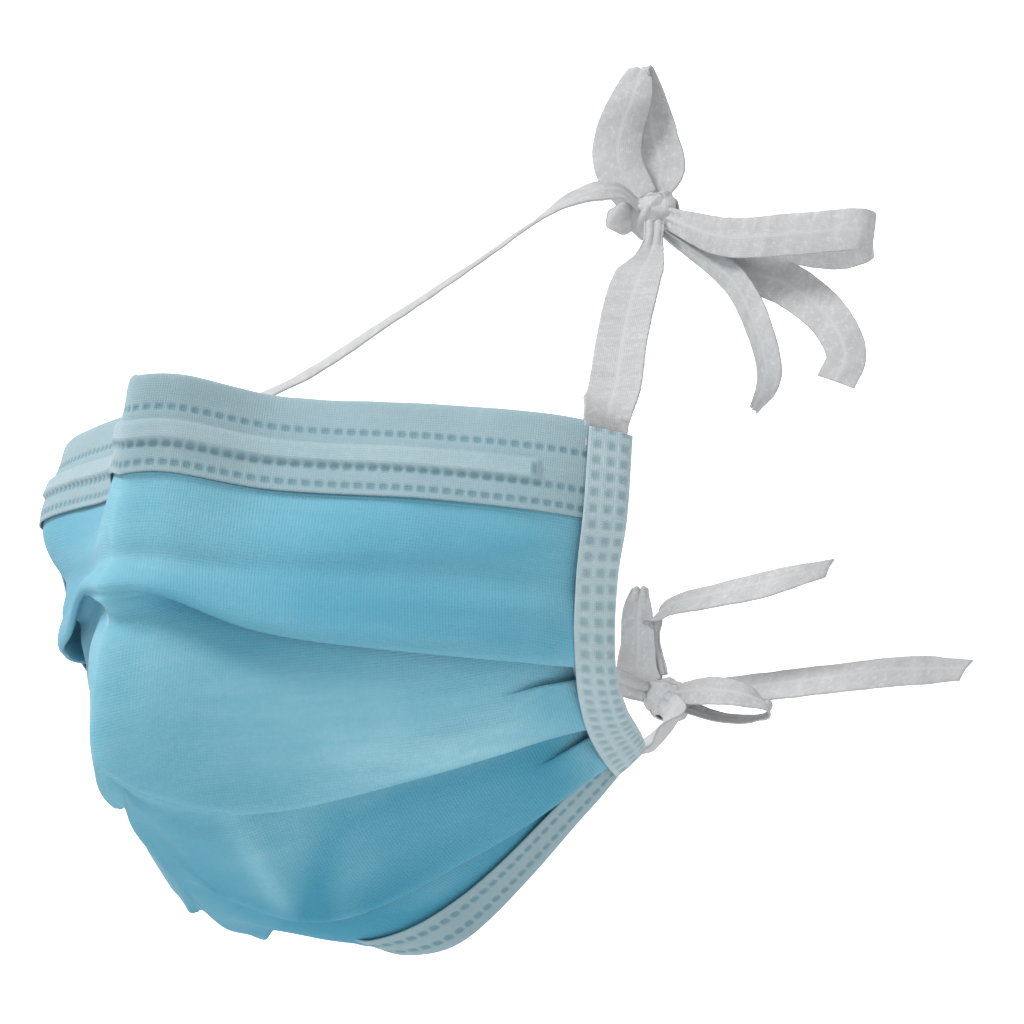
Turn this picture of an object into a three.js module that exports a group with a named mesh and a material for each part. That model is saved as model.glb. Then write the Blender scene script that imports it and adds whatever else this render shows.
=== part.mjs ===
// Surgical face mask with four ties, in the form it takes when worn, tied in two bows at the back.
// Millimetres, +Z up. The origin is the middle of the top edge, on the bridge of the nose.
// The wearer faces -Y, and +X is the wearer's left.
import * as THREE from 'three';

// Driving sizes of the mask's body
const HALF_WIDTH = 69; // across the face, from the middle to a side edge at the top
const SIDE_DEPTH = 56.8; // from the nose back to a side edge at the top
const FRONT_HEIGHT = 101; // from the top edge down to the lowest rows under the chin

// Cloth, and the clearances that keep layers apart
const WALL = 1.0; // thickness of every layer of cloth
const GAP = 0.3; // clearance between layers, and between pieces that touch
const TUCK = 1.2; // how far the panel's edges stay from the fold of a band
const SKIN = 3; // the rows below follow the outermost layers, this far above the panel's middle

// Bands folded over the edges
const TOP_BAND_HEIGHT = 17;
const TOP_BAND_INNER = 9;
const BOTTOM_BAND_HEIGHT = 9;
const BOTTOM_BAND_INNER = 6;
const SIDE_BAND_WIDTH = 9;
const SIDE_BAND_INNER = 7;
const SIDE_BAND_END = 5.8; // the row at which the side bands end

// Nose wire, a flat strip between the front panel and the top band
const WIRE_HALF_LENGTH = 74;
const WIRE_WIDTH = 3;
const WIRE_THICKNESS = 0.6;
const WIRE_DROP = 9.5; // from the top edge down to the middle of the wire

// Pleats, which are stacked at the sides and open out towards the middle
const PLEAT_DEPTH = 9.5; // how far the layers of the deepest pleat overlap at a side edge
const PLEAT_RISE = 3; // the stretch over which the cloth climbs onto a pleat
const PLEAT_OPENING = 5; // how far a pleat's middle layer lies open at the middle of the mask
const CREASE_DEPTH = 1.2; // soft pressed crease above the first pleat
const CREASE_WIDTH = 3.2;

// Ties and bows
const TIE_WIDTH = 10;
const TIE_SEAT = 4.4; // from the side edge in to the middle of a tie, half its width there
const TIE_STRAIGHT = 2.5; // how far a tie goes straight on from its side band
const TIE_GATHERED = 0.5; // share of its width that a tie has where it enters a knot
const TIE_CLEARANCE = 1.1; // from the end of a side band to the middle of a tie's end
const KNOT_HALF_WIDTH = 6.5;
const KNOT_HALF_DEPTH = 5.5;
const KNOT_HALF_HEIGHT = 6;
const UPPER_KNOT_DEPTH = 180; // both knots lie in the middle plane, this far behind the nose
const UPPER_KNOT_HEIGHT = 53.5;
const LOWER_KNOT_DEPTH = 183;
const LOWER_KNOT_DROP = 58.5;
const UPPER_LOOP_UP_REACH = 35;
const UPPER_LOOP_SIDE_REACH = 57;
const UPPER_TAIL_INNER_REACH = 53;
const UPPER_TAIL_OUTER_REACH = 65;
const LOWER_LOOP_UP_REACH = 24;
const LOWER_LOOP_SIDE_REACH = 28;
const LOWER_TAIL_UPPER_REACH = 54;
const LOWER_TAIL_LOWER_REACH = 78;

// How finely the cloth is divided
const HALF_COLUMNS = 15; // columns from the middle to a side
const COLUMN_CROWDING = 1.25; // above 1, the columns crowd towards the nose
const SIDE_BAND_STEPS = 24;
const STEPS_ABOVE_PLEATS = 9; // down the panel, above its first pleat
const STEPS_BETWEEN_PLEATS = 6;
const KNOT_SEGMENTS = 14;
const KNOT_RINGS = 9;

const HALF_WALL = WALL / 2;
const LAYER = WALL + GAP;
const FOLDED_LAYERS = 2; // what a pleat adds on top of the cloth

// The stations across a row, as shares of the straight line from the middle to the side edge
const STATIONS = [0, 0.1, 0.3, 0.6, 0.85, 1];

// The rows that carry the cloth, from the top edge to the bottom edge.
// back and across are shares of SIDE_DEPTH and HALF_WIDTH, down is a share of FRONT_HEIGHT.
// bulge and lift are how far each inner station stands out from, and above, the straight line
// from the middle to the side, as shares of HALF_WIDTH and FRONT_HEIGHT.
const ROWS = [
  {
    name: 'top_edge', back: 0, down: 0, side: { across: 1, back: 1, down: 0.09 },
    bulge: [0, -0.064, 0.007, 0.049], lift: [0.013, 0.001, 0.011, 0.01],
  },
  {
    name: 'band_edge', back: -0.067, down: 0.149, side: { across: 1.009, back: 0.945, down: 0.25 },
    bulge: [0.014, -0.021, 0.042, 0.056], lift: [0.013, -0.006, -0.003, -0.004],
  },
  {
    name: 'crease', back: -0.137, down: 0.307, side: { across: 0.97, back: 0.973, down: 0.349 },
    bulge: [0.035, 0.042, 0.071, 0.064], lift: [0.002, -0.001, -0.004, -0.006],
  },
  {
    name: 'first_pleat', back: -0.15, down: 0.361, side: { across: 0.918, back: 1.05, down: 0.503 },
    bulge: [0.042, 0.071, 0.099, 0.064], lift: [0.01, -0.029, -0.027, -0.015],
  },
  {
    name: 'second_pleat', back: -0.155, down: 0.656, side: { across: 0.846, back: 1.267, down: 0.595 },
    bulge: [0.028, 0.014, 0.042, 0.028], lift: [-0.05, -0.098, -0.064, -0.012],
  },
  {
    name: 'third_pleat', back: 0.167, down: 0.875, side: { across: 0.79, back: 1.461, down: 0.633 },
    bulge: [0, 0, 0.014, 0.014], lift: [-0.071, -0.153, -0.113, -0.043],
  },
  {
    name: 'bottom_edge', back: 0.669, down: 1.02, side: { across: 0.745, back: 1.606, down: 0.665 },
    bulge: [0, 0, -0.014, -0.014], lift: [-0.045, -0.125, -0.155, -0.07],
  },
];

// The pleats. depth is a share of PLEAT_DEPTH at the side edge, opens is the share of the half width
// within which the layers no longer overlap, and step is what is left of the pleat at the middle.
const PLEATS = [
  { row: 'first_pleat', depth: 1, opens: 0.08, step: 0.8 },
  { row: 'second_pleat', depth: 1, opens: 0.34, step: 0.4 },
  { row: 'third_pleat', depth: 0.55, opens: 0.3, step: 0.2 },
];

// Broad soft hollows of the cloth between the pleats, the same on both sides, and the lower edge,
// which swells and then curls in under the chin. across and row say where, wide and tall how far it
// reaches, and depth is a share of SIDE_DEPTH.
const HOLLOWS = [
  { across: 0.5, row: 4.5, wide: 0.22, tall: 0.45, depth: 0.06 },
  { across: 0.62, row: 2.55, wide: 0.3, tall: 0.3, depth: 0.02 },
  { across: 0, row: 5.7, wide: 0.3, tall: 0.25, depth: -0.03 },
  { across: 0, row: 6.15, wide: 0.22, tall: 0.35, depth: 0.06 },
  { across: 0.38, row: 6.1, wide: 0.14, tall: 0.4, depth: -0.045 },
];

// Routes of the ribbons that leave a knot. right, back and up are shares of the ribbon's reach,
// measured from the middle of the knot. edge is the way across the ribbon, and width is a share
// of the tie's width.
const UPPER_LOOP_UP = [
  { right: -0.13, back: -0.1, up: 0.2, edge: [1, 0.2, 0], width: 0.8 },
  { right: -0.19, back: -0.12, up: 0.36, edge: [1, 0.3, 0], width: 1.08 },
  { right: -0.17, back: -0.13, up: 0.56, edge: [1, 0.3, 0], width: 1.05 },
  { right: -0.08, back: -0.1, up: 0.78, edge: [1, 0.4, 0], width: 0.9 },
  { right: -0.11, back: 0, up: 0.97, edge: [1, 0.4, 0], width: 0.65 },
  { right: -0.13, back: 0.08, up: 0.78, edge: [1, 0.4, 0], width: 0.9 },
  { right: -0.1, back: 0.11, up: 0.54, edge: [1, 0.4, 0], width: 1.05 },
  { right: -0.02, back: 0.1, up: 0.34, edge: [1, 0.4, 0], width: 1.08 },
  { right: 0, back: 0.09, up: 0.2, edge: [1, 0.2, 0], width: 0.6 },
];
const UPPER_LOOP_SIDE = [
  { right: 0.2, back: -0.1, up: -0.05, edge: [0.2, 0, 1], width: 0.5 },
  { right: 0.4, back: -0.12, up: -0.13, edge: [0, 0, 1], width: 0.9 },
  { right: 0.7, back: -0.1, up: -0.14, edge: [0, 0, 1], width: 0.95 },
  { right: 0.95, back: -0.02, up: -0.14, edge: [0.15, 0, 1], width: 0.95 },
  { right: 0.94, back: 0.08, up: -0.17, edge: [0.2, -0.3, 1], width: 0.95 },
  { right: 0.77, back: 0.14, up: -0.2, edge: [0.1, -0.6, 1], width: 0.9 },
  { right: 0.5, back: 0.13, up: -0.14, edge: [0, -0.3, 1], width: 0.8 },
  { right: 0.22, back: 0.07, up: -0.04, edge: [0, 0, 1], width: 0.45 },
];
const UPPER_TAIL_INNER = [
  { right: 0.17, back: -0.06, up: -0.2, edge: [0.6, -0.1, 0.6], width: 0.4 },
  { right: 0.41, back: -0.06, up: -0.33, edge: [0.8, -0.3, 0.4], width: 0.75 },
  { right: 0.57, back: -0.06, up: -0.54, edge: [0.8, -0.4, 0.1], width: 0.95 },
  { right: 0.63, back: -0.04, up: -0.74, edge: [0.9, -0.4, -0.1], width: 0.9 },
  { right: 0.57, back: -0.02, up: -0.89, edge: [0.9, -0.4, -0.2], width: 0.4 },
];
const UPPER_TAIL_OUTER = [
  { right: 0.17, back: 0.01, up: -0.12, edge: [0.4, 0, 1], width: 0.45 },
  { right: 0.33, back: 0.02, up: -0.21, edge: [0.3, 0, 1], width: 0.9 },
  { right: 0.52, back: 0.03, up: -0.285, edge: [0.5, 0.1, 1], width: 1.05 },
  { right: 0.675, back: 0.03, up: -0.42, edge: [0.9, 0.2, 0.6], width: 1.05 },
  { right: 0.74, back: 0.02, up: -0.55, edge: [1, 0.2, 0.1], width: 1.05 },
  { right: 0.7, back: 0, up: -0.65, edge: [1, 0.2, -0.2], width: 1 },
];
const LOWER_LOOP_UP = [
  { right: -0.16, back: -0.16, up: 0.26, edge: [1, 0.2, 0.3], width: 0.5 },
  { right: -0.28, back: -0.2, up: 0.56, edge: [0.9, 0.4, 0.1], width: 0.6 },
  { right: -0.29, back: -0.14, up: 0.86, edge: [0.8, 0.5, 0], width: 0.45 },
  { right: -0.25, back: 0, up: 1, edge: [0.8, 0.5, 0], width: 0.4 },
  { right: -0.25, back: 0.14, up: 0.82, edge: [0.8, 0.5, 0], width: 0.45 },
  { right: -0.23, back: 0.18, up: 0.52, edge: [0.8, 0.5, 0], width: 0.5 },
  { right: -0.1, back: 0.14, up: 0.28, edge: [1, 0.2, 0], width: 0.4 },
];
const LOWER_LOOP_SIDE = [
  { right: 0.26, back: -0.12, up: 0.05, edge: [0.1, 0.5, 1], width: 0.5 },
  { right: 0.55, back: -0.16, up: 0.06, edge: [0, 0.6, 0.9], width: 0.7 },
  { right: 0.85, back: -0.12, up: 0.02, edge: [-0.2, 0.8, 0.7], width: 0.75 },
  { right: 1.03, back: -0.02, up: -0.08, edge: [-0.6, 1, 0.2], width: 0.7 },
  { right: 0.86, back: 0.06, up: -0.2, edge: [0, 1, 0.3], width: 0.6 },
  { right: 0.56, back: 0.04, up: -0.2, edge: [0, 1, 0.4], width: 0.55 },
  { right: 0.28, back: -0.02, up: -0.12, edge: [0, 0.8, 0.6], width: 0.4 },
];
const LOWER_TAIL_UPPER = [
  { right: -0.02, back: -0.02, up: 0.15, edge: [1, 0.4, 0], width: 0.45 },
  { right: -0.05, back: -0.02, up: 0.29, edge: [1, 0.4, 0.2], width: 0.5 },
  { right: 0.04, back: -0.03, up: 0.38, edge: [-0.3, 0.8, 1], width: 0.55 },
  { right: 0.27, back: -0.05, up: 0.43, edge: [0, 0.8, 0.7], width: 0.9 },
  { right: 0.55, back: -0.06, up: 0.48, edge: [0, 0.8, 0.7], width: 1 },
  { right: 0.84, back: -0.07, up: 0.54, edge: [0, 0.8, 0.6], width: 0.7 },
];
const LOWER_TAIL_LOWER = [
  { right: 0.12, back: 0.07, up: 0.02, edge: [0, 0.5, 1], width: 0.5 },
  { right: 0.26, back: 0.1, up: 0.03, edge: [0, 0.7, 0.8], width: 0.85 },
  { right: 0.5, back: 0.07, up: 0.055, edge: [0, 0.8, 0.7], width: 1 },
  { right: 0.75, back: 0.04, up: 0.08, edge: [0, 0.8, 0.7], width: 1 },
  { right: 1, back: 0, up: 0.08, edge: [0, 0.8, 0.6], width: 0.7 },
];

// Routes of the ties from a corner of the mask to a knot. along is the share of the way, lift and
// out are shares of the tie's length, upwards and away from the middle plane, and edge is the way
// across the tie on the wearer's left.
const UPPER_TIE_LEFT = [
  { along: 0.1, lift: 0.01, out: 0, edge: [0.82, 0.57, 0], width: 1 },
  { along: 0.35, lift: 0, out: 0, edge: [0.83, 0.56, 0], width: 1 },
  { along: 0.65, lift: 0, out: -0.005, edge: [0.85, 0.52, 0], width: 1.05 },
  { along: 0.8, lift: -0.01, out: -0.01, edge: [0.88, 0.46, 0], width: 1.05 },
  { along: 0.9, lift: -0.005, out: 0, edge: [0.88, 0.46, 0], width: 0.8 },
];
const UPPER_TIE_RIGHT = [
  { along: 0.1, lift: -0.02, out: 0, edge: [0.82, 0.57, 0.08], width: 1 },
  { along: 0.35, lift: -0.022, out: 0, edge: [0.83, 0.56, 0.12], width: 1 },
  { along: 0.5, lift: 0, out: 0, edge: [0.84, 0.54, 0.12], width: 1 },
  { along: 0.68, lift: 0.034, out: 0, edge: [0.85, 0.52, 0.12], width: 1 },
  { along: 0.88, lift: 0.07, out: 0, edge: [0.8, 0.4, 0.3], width: 0.9 },
];
const LOWER_TIE_LEFT = [
  { along: 0.12, lift: 0.015, out: 0.01, edge: [0.5, 0.6, 0.5], width: 0.85 },
  { along: 0.45, lift: 0, out: 0.05, edge: [0.5, 0.35, 0.75], width: 0.8 },
  { along: 0.75, lift: 0, out: 0.045, edge: [0.5, 0.3, 0.8], width: 0.65 },
];
const LOWER_TIE_RIGHT = [
  { along: 0.12, lift: 0.01, out: 0, edge: [0.5, 0.2, -0.7], width: 0.9 },
  { along: 0.4, lift: 0.04, out: 0, edge: [0.3, 0.2, -0.9], width: 0.9 },
  { along: 0.75, lift: 0.085, out: 0, edge: [0.2, 0.2, -1], width: 0.8 },
];

// A closed solid from columns of point pairs, one pair for the outer and the inner face.
function sheetSolid(columns) {
  const positions = [];
  const faces = [];
  const pairCount = columns[0].length;
  const columnSize = pairCount * 2;
  for (const column of columns) {
    for (const pair of column) {
      positions.push(...pair.outer.toArray(), ...pair.inner.toArray());
    }
  }
  const outer = (column, pair) => column * columnSize + pair * 2;
  const inner = (column, pair) => outer(column, pair) + 1;
  const quad = (a, b, c, d) => faces.push(a, b, c, a, c, d);
  const last = columns.length - 1;
  const end = pairCount - 1;
  for (let column = 0; column < last; column += 1) {
    for (let pair = 0; pair < end; pair += 1) {
      quad(outer(column, pair), outer(column, pair + 1), outer(column + 1, pair + 1), outer(column + 1, pair));
      quad(inner(column, pair), inner(column + 1, pair), inner(column + 1, pair + 1), inner(column, pair + 1));
    }
    quad(outer(column, 0), outer(column + 1, 0), inner(column + 1, 0), inner(column, 0));
    quad(outer(column, end), inner(column, end), inner(column + 1, end), outer(column + 1, end));
  }
  for (let pair = 0; pair < end; pair += 1) {
    quad(outer(0, pair), inner(0, pair), inner(0, pair + 1), outer(0, pair + 1));
    quad(outer(last, pair), outer(last, pair + 1), inner(last, pair + 1), inner(last, pair));
  }
  const geometry = new THREE.BufferGeometry();
  geometry.setAttribute('position', new THREE.Float32BufferAttribute(positions, 3));
  geometry.setIndex(signedVolume(positions, faces) < 0 ? faces.toReversed() : faces);
  geometry.computeVertexNormals();
  return geometry;
}

// Six times the volume inside a list of triangles, negative when they face inwards.
function signedVolume(positions, faces) {
  const corner = (index) => new THREE.Vector3().fromArray(positions, index * 3);
  let volume = 0;
  for (let face = 0; face < faces.length; face += 3) {
    const [a, b, c] = [0, 1, 2].map((step) => corner(faces[face + step]));
    volume += a.dot(b.cross(c));
  }
  return volume;
}

// The curve of one row, from the wearer's right to the left.
function rowCurve(row) {
  const middle = { y: row.back * SIDE_DEPTH, z: -row.down * FRONT_HEIGHT };
  const side = {
    x: row.side.across * HALF_WIDTH,
    y: row.side.back * SIDE_DEPTH,
    z: -row.side.down * FRONT_HEIGHT,
  };
  const heading = Math.atan2(side.y - middle.y, side.x);
  const half = STATIONS.map((station, index) => {
    const bulge = (row.bulge[index - 1] ?? 0) * HALF_WIDTH;
    const lift = (row.lift[index - 1] ?? 0) * FRONT_HEIGHT;
    return new THREE.Vector3(
      side.x * station + bulge * Math.sin(heading),
      middle.y + (side.y - middle.y) * station - bulge * Math.cos(heading),
      middle.z + (side.z - middle.z) * station + lift,
    );
  });
  const mirrored = half.slice(1).reverse().map((point) => new THREE.Vector3(-point.x, point.y, point.z));
  return new THREE.CatmullRomCurve3([...mirrored, ...half], false, 'centripetal');
}

const ROW_CURVES = ROWS.map(rowCurve);
const LAST_ROW = ROWS.length - 1;
const TOP_HALF_ARC = ROW_CURVES[0].getLength() / 2;
const rowIndex = (name) => ROWS.findIndex((row) => row.name === name);

// The curve down the cloth at one place across it, from -1 on the wearer's right to 1 on the left.
const columnCurves = new Map();
function columnCurve(across) {
  if (!columnCurves.has(across)) {
    const share = (across + 1) / 2;
    const points = ROW_CURVES.map((curve) => curve.getPointAt(Math.min(Math.max(share, 0), 1)));
    columnCurves.set(across, new THREE.CatmullRomCurve3(points, false, 'centripetal'));
  }
  return columnCurves.get(across);
}

// How far the broad hollows draw the cloth inwards.
function hollowDepth(across, row) {
  return HOLLOWS.reduce((sum, hollow) => {
    const sideways = (Math.abs(across) - hollow.across) / hollow.wide;
    const downwards = (row - hollow.row) / hollow.tall;
    return sum + hollow.depth * SIDE_DEPTH * Math.exp(-sideways * sideways - downwards * downwards);
  }, 0);
}

// The way down, the way across and the way out of the cloth at one place.
const ACROSS_STEP = 0.01;
function clothFrame(across, row) {
  const share = row / LAST_ROW;
  const before = columnCurve(Math.max(across - ACROSS_STEP, -1)).getPoint(share);
  const after = columnCurve(Math.min(across + ACROSS_STEP, 1)).getPoint(share);
  const sideways = after.sub(before).normalize();
  const down = columnCurve(across).getTangent(share);
  const out = down.clone().cross(sideways).normalize();
  return { down, sideways, out };
}

// A point at a place on the cloth and a height above its middle layer.
function clothPoint(across, row, height) {
  const { out } = clothFrame(across, row);
  const point = columnCurve(across).getPoint(row / LAST_ROW);
  return point.addScaledVector(out, height - SKIN - hollowDepth(across, row));
}

// The same, for a place given as a distance down the column.
function columnPoint(across, distance, height) {
  const curve = columnCurve(across);
  const share = curve.getUtoTmapping(distance / curve.getLength());
  return clothPoint(across, share * LAST_ROW, height);
}

// The distance down a column to one of the rows.
const ARC_DIVISIONS_A_ROW = 40;
function distanceToRow(across, index) {
  const lengths = columnCurve(across).getLengths(ARC_DIVISIONS_A_ROW * LAST_ROW);
  return lengths[ARC_DIVISIONS_A_ROW * index];
}

const pairAt = (point, outer, inner) => ({ outer: point(...outer), inner: point(...inner) });
const acrossFromSide = (distance) => 1 - distance / TOP_HALF_ARC;
const SIDE_BAND_EDGE = acrossFromSide(SIDE_BAND_WIDTH + GAP);

// Places across the cloth, crowded towards the nose.
function columnPlaces(limit) {
  const places = [];
  for (let step = -HALF_COLUMNS; step <= HALF_COLUMNS; step += 1) {
    const share = Math.abs(step) / HALF_COLUMNS;
    places.push(Math.sign(step) * limit * share ** COLUMN_CROWDING);
  }
  return places;
}

// Where each pleat lies in one column: its edge, its overlap and the height of a step.
function pleatSizes(across) {
  return PLEATS.map((pleat) => {
    const place = Math.abs(across);
    const overlapping = (place - pleat.opens) / (1 - pleat.opens);
    const open = 1 - place / pleat.opens;
    const overlap = overlapping > 0 ? pleat.depth * PLEAT_DEPTH * overlapping : -PLEAT_OPENING * open;
    const step = overlapping > 0 ? LAYER : LAYER * (pleat.step * open + (1 - open));
    return { edge: distanceToRow(across, rowIndex(pleat.row)), overlap, step };
  });
}

// The front panel's section in one column, as pairs of distance down and height.
function panelSection(across) {
  const crease = distanceToRow(across, rowIndex('crease'));
  const fading = Math.max(1 - (across / SIDE_BAND_EDGE) ** 2, 0);
  const creased = (distance) => {
    const offCrease = (distance - crease) / CREASE_WIDTH;
    return -CREASE_DEPTH * fading * Math.exp(-offCrease * offCrease);
  };
  const section = [];
  const put = (distance, height, lean, tilt) => {
    section.push([[distance + lean, height + tilt], [distance - lean, height - tilt]]);
  };
  const layer = (distance, height) => put(distance, height, 0, HALF_WALL);
  const corner = (distance, height, tilt) => put(distance, height, HALF_WALL, tilt);
  const flat = (from, to, steps) => {
    for (let step = 1; step < steps; step += 1) {
      const distance = from + ((to - from) * step) / steps;
      layer(distance, creased(distance));
    }
  };
  let reached = WALL + TUCK;
  let steps = STEPS_ABOVE_PLEATS;
  layer(reached, 0);
  for (const { edge, overlap, step } of pleatSizes(across)) {
    const under = edge - Math.max(overlap, 0) - HALF_WALL - GAP;
    const top = step * FOLDED_LAYERS;
    const folded = overlap > 0 ? -HALF_WALL : HALF_WALL;
    flat(reached, under - PLEAT_RISE, steps);
    layer(under - PLEAT_RISE, creased(under - PLEAT_RISE));
    layer(under, top);
    layer((under + edge) / 2, top);
    corner(edge, top, HALF_WALL);
    corner(edge, step, folded);
    put(edge - overlap / 2, step, 0, folded);
    corner(edge - overlap, step, folded);
    corner(edge - overlap, 0, HALF_WALL);
    reached = edge - overlap;
    steps = STEPS_BETWEEN_PLEATS;
  }
  const bottom = columnCurve(across).getLength() - WALL - TUCK;
  flat(reached, bottom, steps);
  layer(bottom, 0);
  return section;
}

function frontPanel() {
  const limit = acrossFromSide(WALL + TUCK);
  const columns = columnPlaces(limit).map((across) => {
    const point = (distance, height) => columnPoint(across, distance, height);
    return panelSection(across).map(([outer, inner]) => pairAt(point, outer, inner));
  });
  return sheetSolid(columns);
}

// The section of a strip folded over an edge: reach along each leg, and the height of each leg.
function foldedSection(outerReach, outerHeight, innerReach, innerHeight) {
  const leg = (height, distance, side) => {
    const outside = [distance, height + side * HALF_WALL];
    const inside = [Math.max(distance, WALL), height - side * HALF_WALL];
    return [outside, inside];
  };
  return [
    leg(outerHeight, outerReach, 1),
    leg(outerHeight, outerReach / 2, 1),
    leg(outerHeight, 0, 1),
    leg(innerHeight, 0, -1),
    leg(innerHeight, innerReach, -1),
  ];
}

const OUTER_OVER_WIRE = HALF_WALL + GAP + WIRE_THICKNESS + GAP + HALF_WALL;

function topBand() {
  const section = foldedSection(TOP_BAND_HEIGHT, OUTER_OVER_WIRE, TOP_BAND_INNER, -LAYER);
  const columns = columnPlaces(SIDE_BAND_EDGE).map((across) => {
    const point = (distance, height) => columnPoint(across, distance, height);
    return section.map(([outer, inner]) => pairAt(point, outer, inner));
  });
  return sheetSolid(columns);
}

function bottomBand() {
  const section = foldedSection(BOTTOM_BAND_HEIGHT, LAYER, BOTTOM_BAND_INNER, -LAYER);
  const columns = columnPlaces(SIDE_BAND_EDGE).map((across) => {
    const length = columnCurve(across).getLength();
    const point = (distance, height) => columnPoint(across, length - distance, height);
    return section.map(([outer, inner]) => pairAt(point, outer, inner));
  });
  return sheetSolid(columns);
}

function sideBand(side) {
  const overPleats = (FOLDED_LAYERS + 1) * LAYER;
  const section = foldedSection(SIDE_BAND_WIDTH, overPleats, SIDE_BAND_INNER, -LAYER);
  const columns = [];
  for (let step = 0; step <= SIDE_BAND_STEPS; step += 1) {
    const row = (SIDE_BAND_END * step) / SIDE_BAND_STEPS;
    const point = (distance, height) => clothPoint(side * acrossFromSide(distance), row, height);
    columns.push(section.map(([outer, inner]) => pairAt(point, outer, inner)));
  }
  return sheetSolid(columns);
}

function noseWire() {
  const limit = WIRE_HALF_LENGTH / TOP_HALF_ARC;
  const bottom = HALF_WALL + GAP;
  const columns = columnPlaces(limit).map((across) => {
    const point = (distance, height) => columnPoint(across, WIRE_DROP + distance, height);
    return [-WIRE_WIDTH / 2, WIRE_WIDTH / 2].map((distance) => {
      return pairAt(point, [distance, bottom + WIRE_THICKNESS], [distance, bottom]);
    });
  });
  return sheetSolid(columns);
}

// A flat ribbon through stops, each with a place, the way across and a width.
const RIBBON_STEPS_A_STOP = 4;
function ribbon(stops) {
  const curve = new THREE.CatmullRomCurve3(stops.map((stop) => stop.place), false, 'centripetal');
  const last = stops.length - 1;
  const columns = [];
  for (let step = 0; step <= last * RIBBON_STEPS_A_STOP; step += 1) {
    const share = step / (last * RIBBON_STEPS_A_STOP);
    const before = Math.min(Math.floor(step / RIBBON_STEPS_A_STOP), last - 1);
    const blend = step / RIBBON_STEPS_A_STOP - before;
    const along = curve.getTangent(share);
    const edge = stops[before].edge.clone().lerp(stops[before + 1].edge, blend);
    edge.addScaledVector(along, -edge.dot(along)).normalize();
    const face = along.clone().cross(edge).multiplyScalar(HALF_WALL);
    const half = THREE.MathUtils.lerp(stops[before].width, stops[before + 1].width, blend) / 2;
    columns.push([-half, half].map((distance) => {
      const middle = curve.getPoint(share).addScaledVector(edge, distance);
      return { outer: middle.clone().add(face), inner: middle.sub(face) };
    }));
  }
  return sheetSolid(columns);
}

const KNOT_RADII = new THREE.Vector3(KNOT_HALF_WIDTH, KNOT_HALF_DEPTH, KNOT_HALF_HEIGHT);
const UPPER_KNOT = new THREE.Vector3(0, UPPER_KNOT_DEPTH, UPPER_KNOT_HEIGHT);
const LOWER_KNOT = new THREE.Vector3(0, LOWER_KNOT_DEPTH, -LOWER_KNOT_DROP);

function knot(place) {
  const geometry = new THREE.SphereGeometry(1, KNOT_SEGMENTS, KNOT_RINGS);
  geometry.scale(...KNOT_RADII.toArray());
  geometry.translate(...place.toArray());
  return geometry;
}

// The stop where a ribbon meets a knot, heading for its next stop and clear of the knot's skin.
function stopAtKnot(knotPlace, next) {
  const heading = next.place.clone().sub(knotPlace).normalize();
  const skin = heading.clone().multiply(KNOT_RADII).length();
  return { ...next, place: knotPlace.clone().addScaledVector(heading, skin + GAP) };
}

function routeStops(route, knotPlace, reach) {
  return route.map((stop) => ({
    place: new THREE.Vector3(stop.right, stop.back, stop.up).multiplyScalar(reach).add(knotPlace),
    edge: new THREE.Vector3(...stop.edge).normalize(),
    width: stop.width * TIE_WIDTH,
  }));
}

function bowTail(route, knotPlace, reach) {
  const stops = routeStops(route, knotPlace, reach);
  return ribbon([stopAtKnot(knotPlace, stops[0]), ...stops.slice(1)]);
}

function bowLoop(route, knotPlace, reach) {
  const stops = routeStops(route, knotPlace, reach);
  const first = stopAtKnot(knotPlace, stops[0]);
  const last = stopAtKnot(knotPlace, stops[stops.length - 1]);
  return ribbon([first, ...stops.slice(1, -1), last]);
}

// A tie from the end of a side band to a knot. side is 1 on the wearer's left and -1 on the right,
// row is where the side band ends, and onwards is the way that the side band would go on.
function tie(side, row, onwards, route, knotPlace) {
  const across = side * acrossFromSide(TIE_SEAT);
  const { down, sideways } = clothFrame(across, row);
  const ahead = down.multiplyScalar(onwards);
  const seat = clothPoint(across, row, LAYER).addScaledVector(ahead, TIE_CLEARANCE);
  const way = knotPlace.clone().sub(seat);
  const away = (stop) => new THREE.Vector3(side * stop.out, 0, stop.lift).multiplyScalar(way.length());
  const stops = route.map((stop) => ({
    place: seat.clone().addScaledVector(way, stop.along).add(away(stop)),
    edge: new THREE.Vector3(side * stop.edge[0], stop.edge[1], stop.edge[2]).normalize(),
    width: stop.width * TIE_WIDTH,
  }));
  const start = { place: seat, edge: sideways.multiplyScalar(side), width: TIE_SEAT * 2 };
  const root = { ...start, place: seat.clone().addScaledVector(ahead, TIE_STRAIGHT) };
  const end = stopAtKnot(knotPlace, { ...stops[stops.length - 1], width: TIE_WIDTH * TIE_GATHERED });
  return ribbon([start, root, ...stops, end]);
}

// Colours of the cloth, the bands, the wire and the ribbons
const clothBlue = () => new THREE.MeshStandardMaterial({ color: 0x6fb2c9, roughness: 0.85 });
const bandBlue = () => new THREE.MeshStandardMaterial({ color: 0x9cb5bc, roughness: 0.8 });
const wireWhite = () => new THREE.MeshStandardMaterial({ color: 0xdadfe0, roughness: 0.45 });
const ribbonWhite = () => new THREE.MeshStandardMaterial({ color: 0xd2d3d4, roughness: 0.9 });

const mask = new THREE.Group();
function addPiece(name, geometry, material) {
  const mesh = new THREE.Mesh(geometry, material);
  mesh.name = name;
  mask.add(mesh);
}

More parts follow.
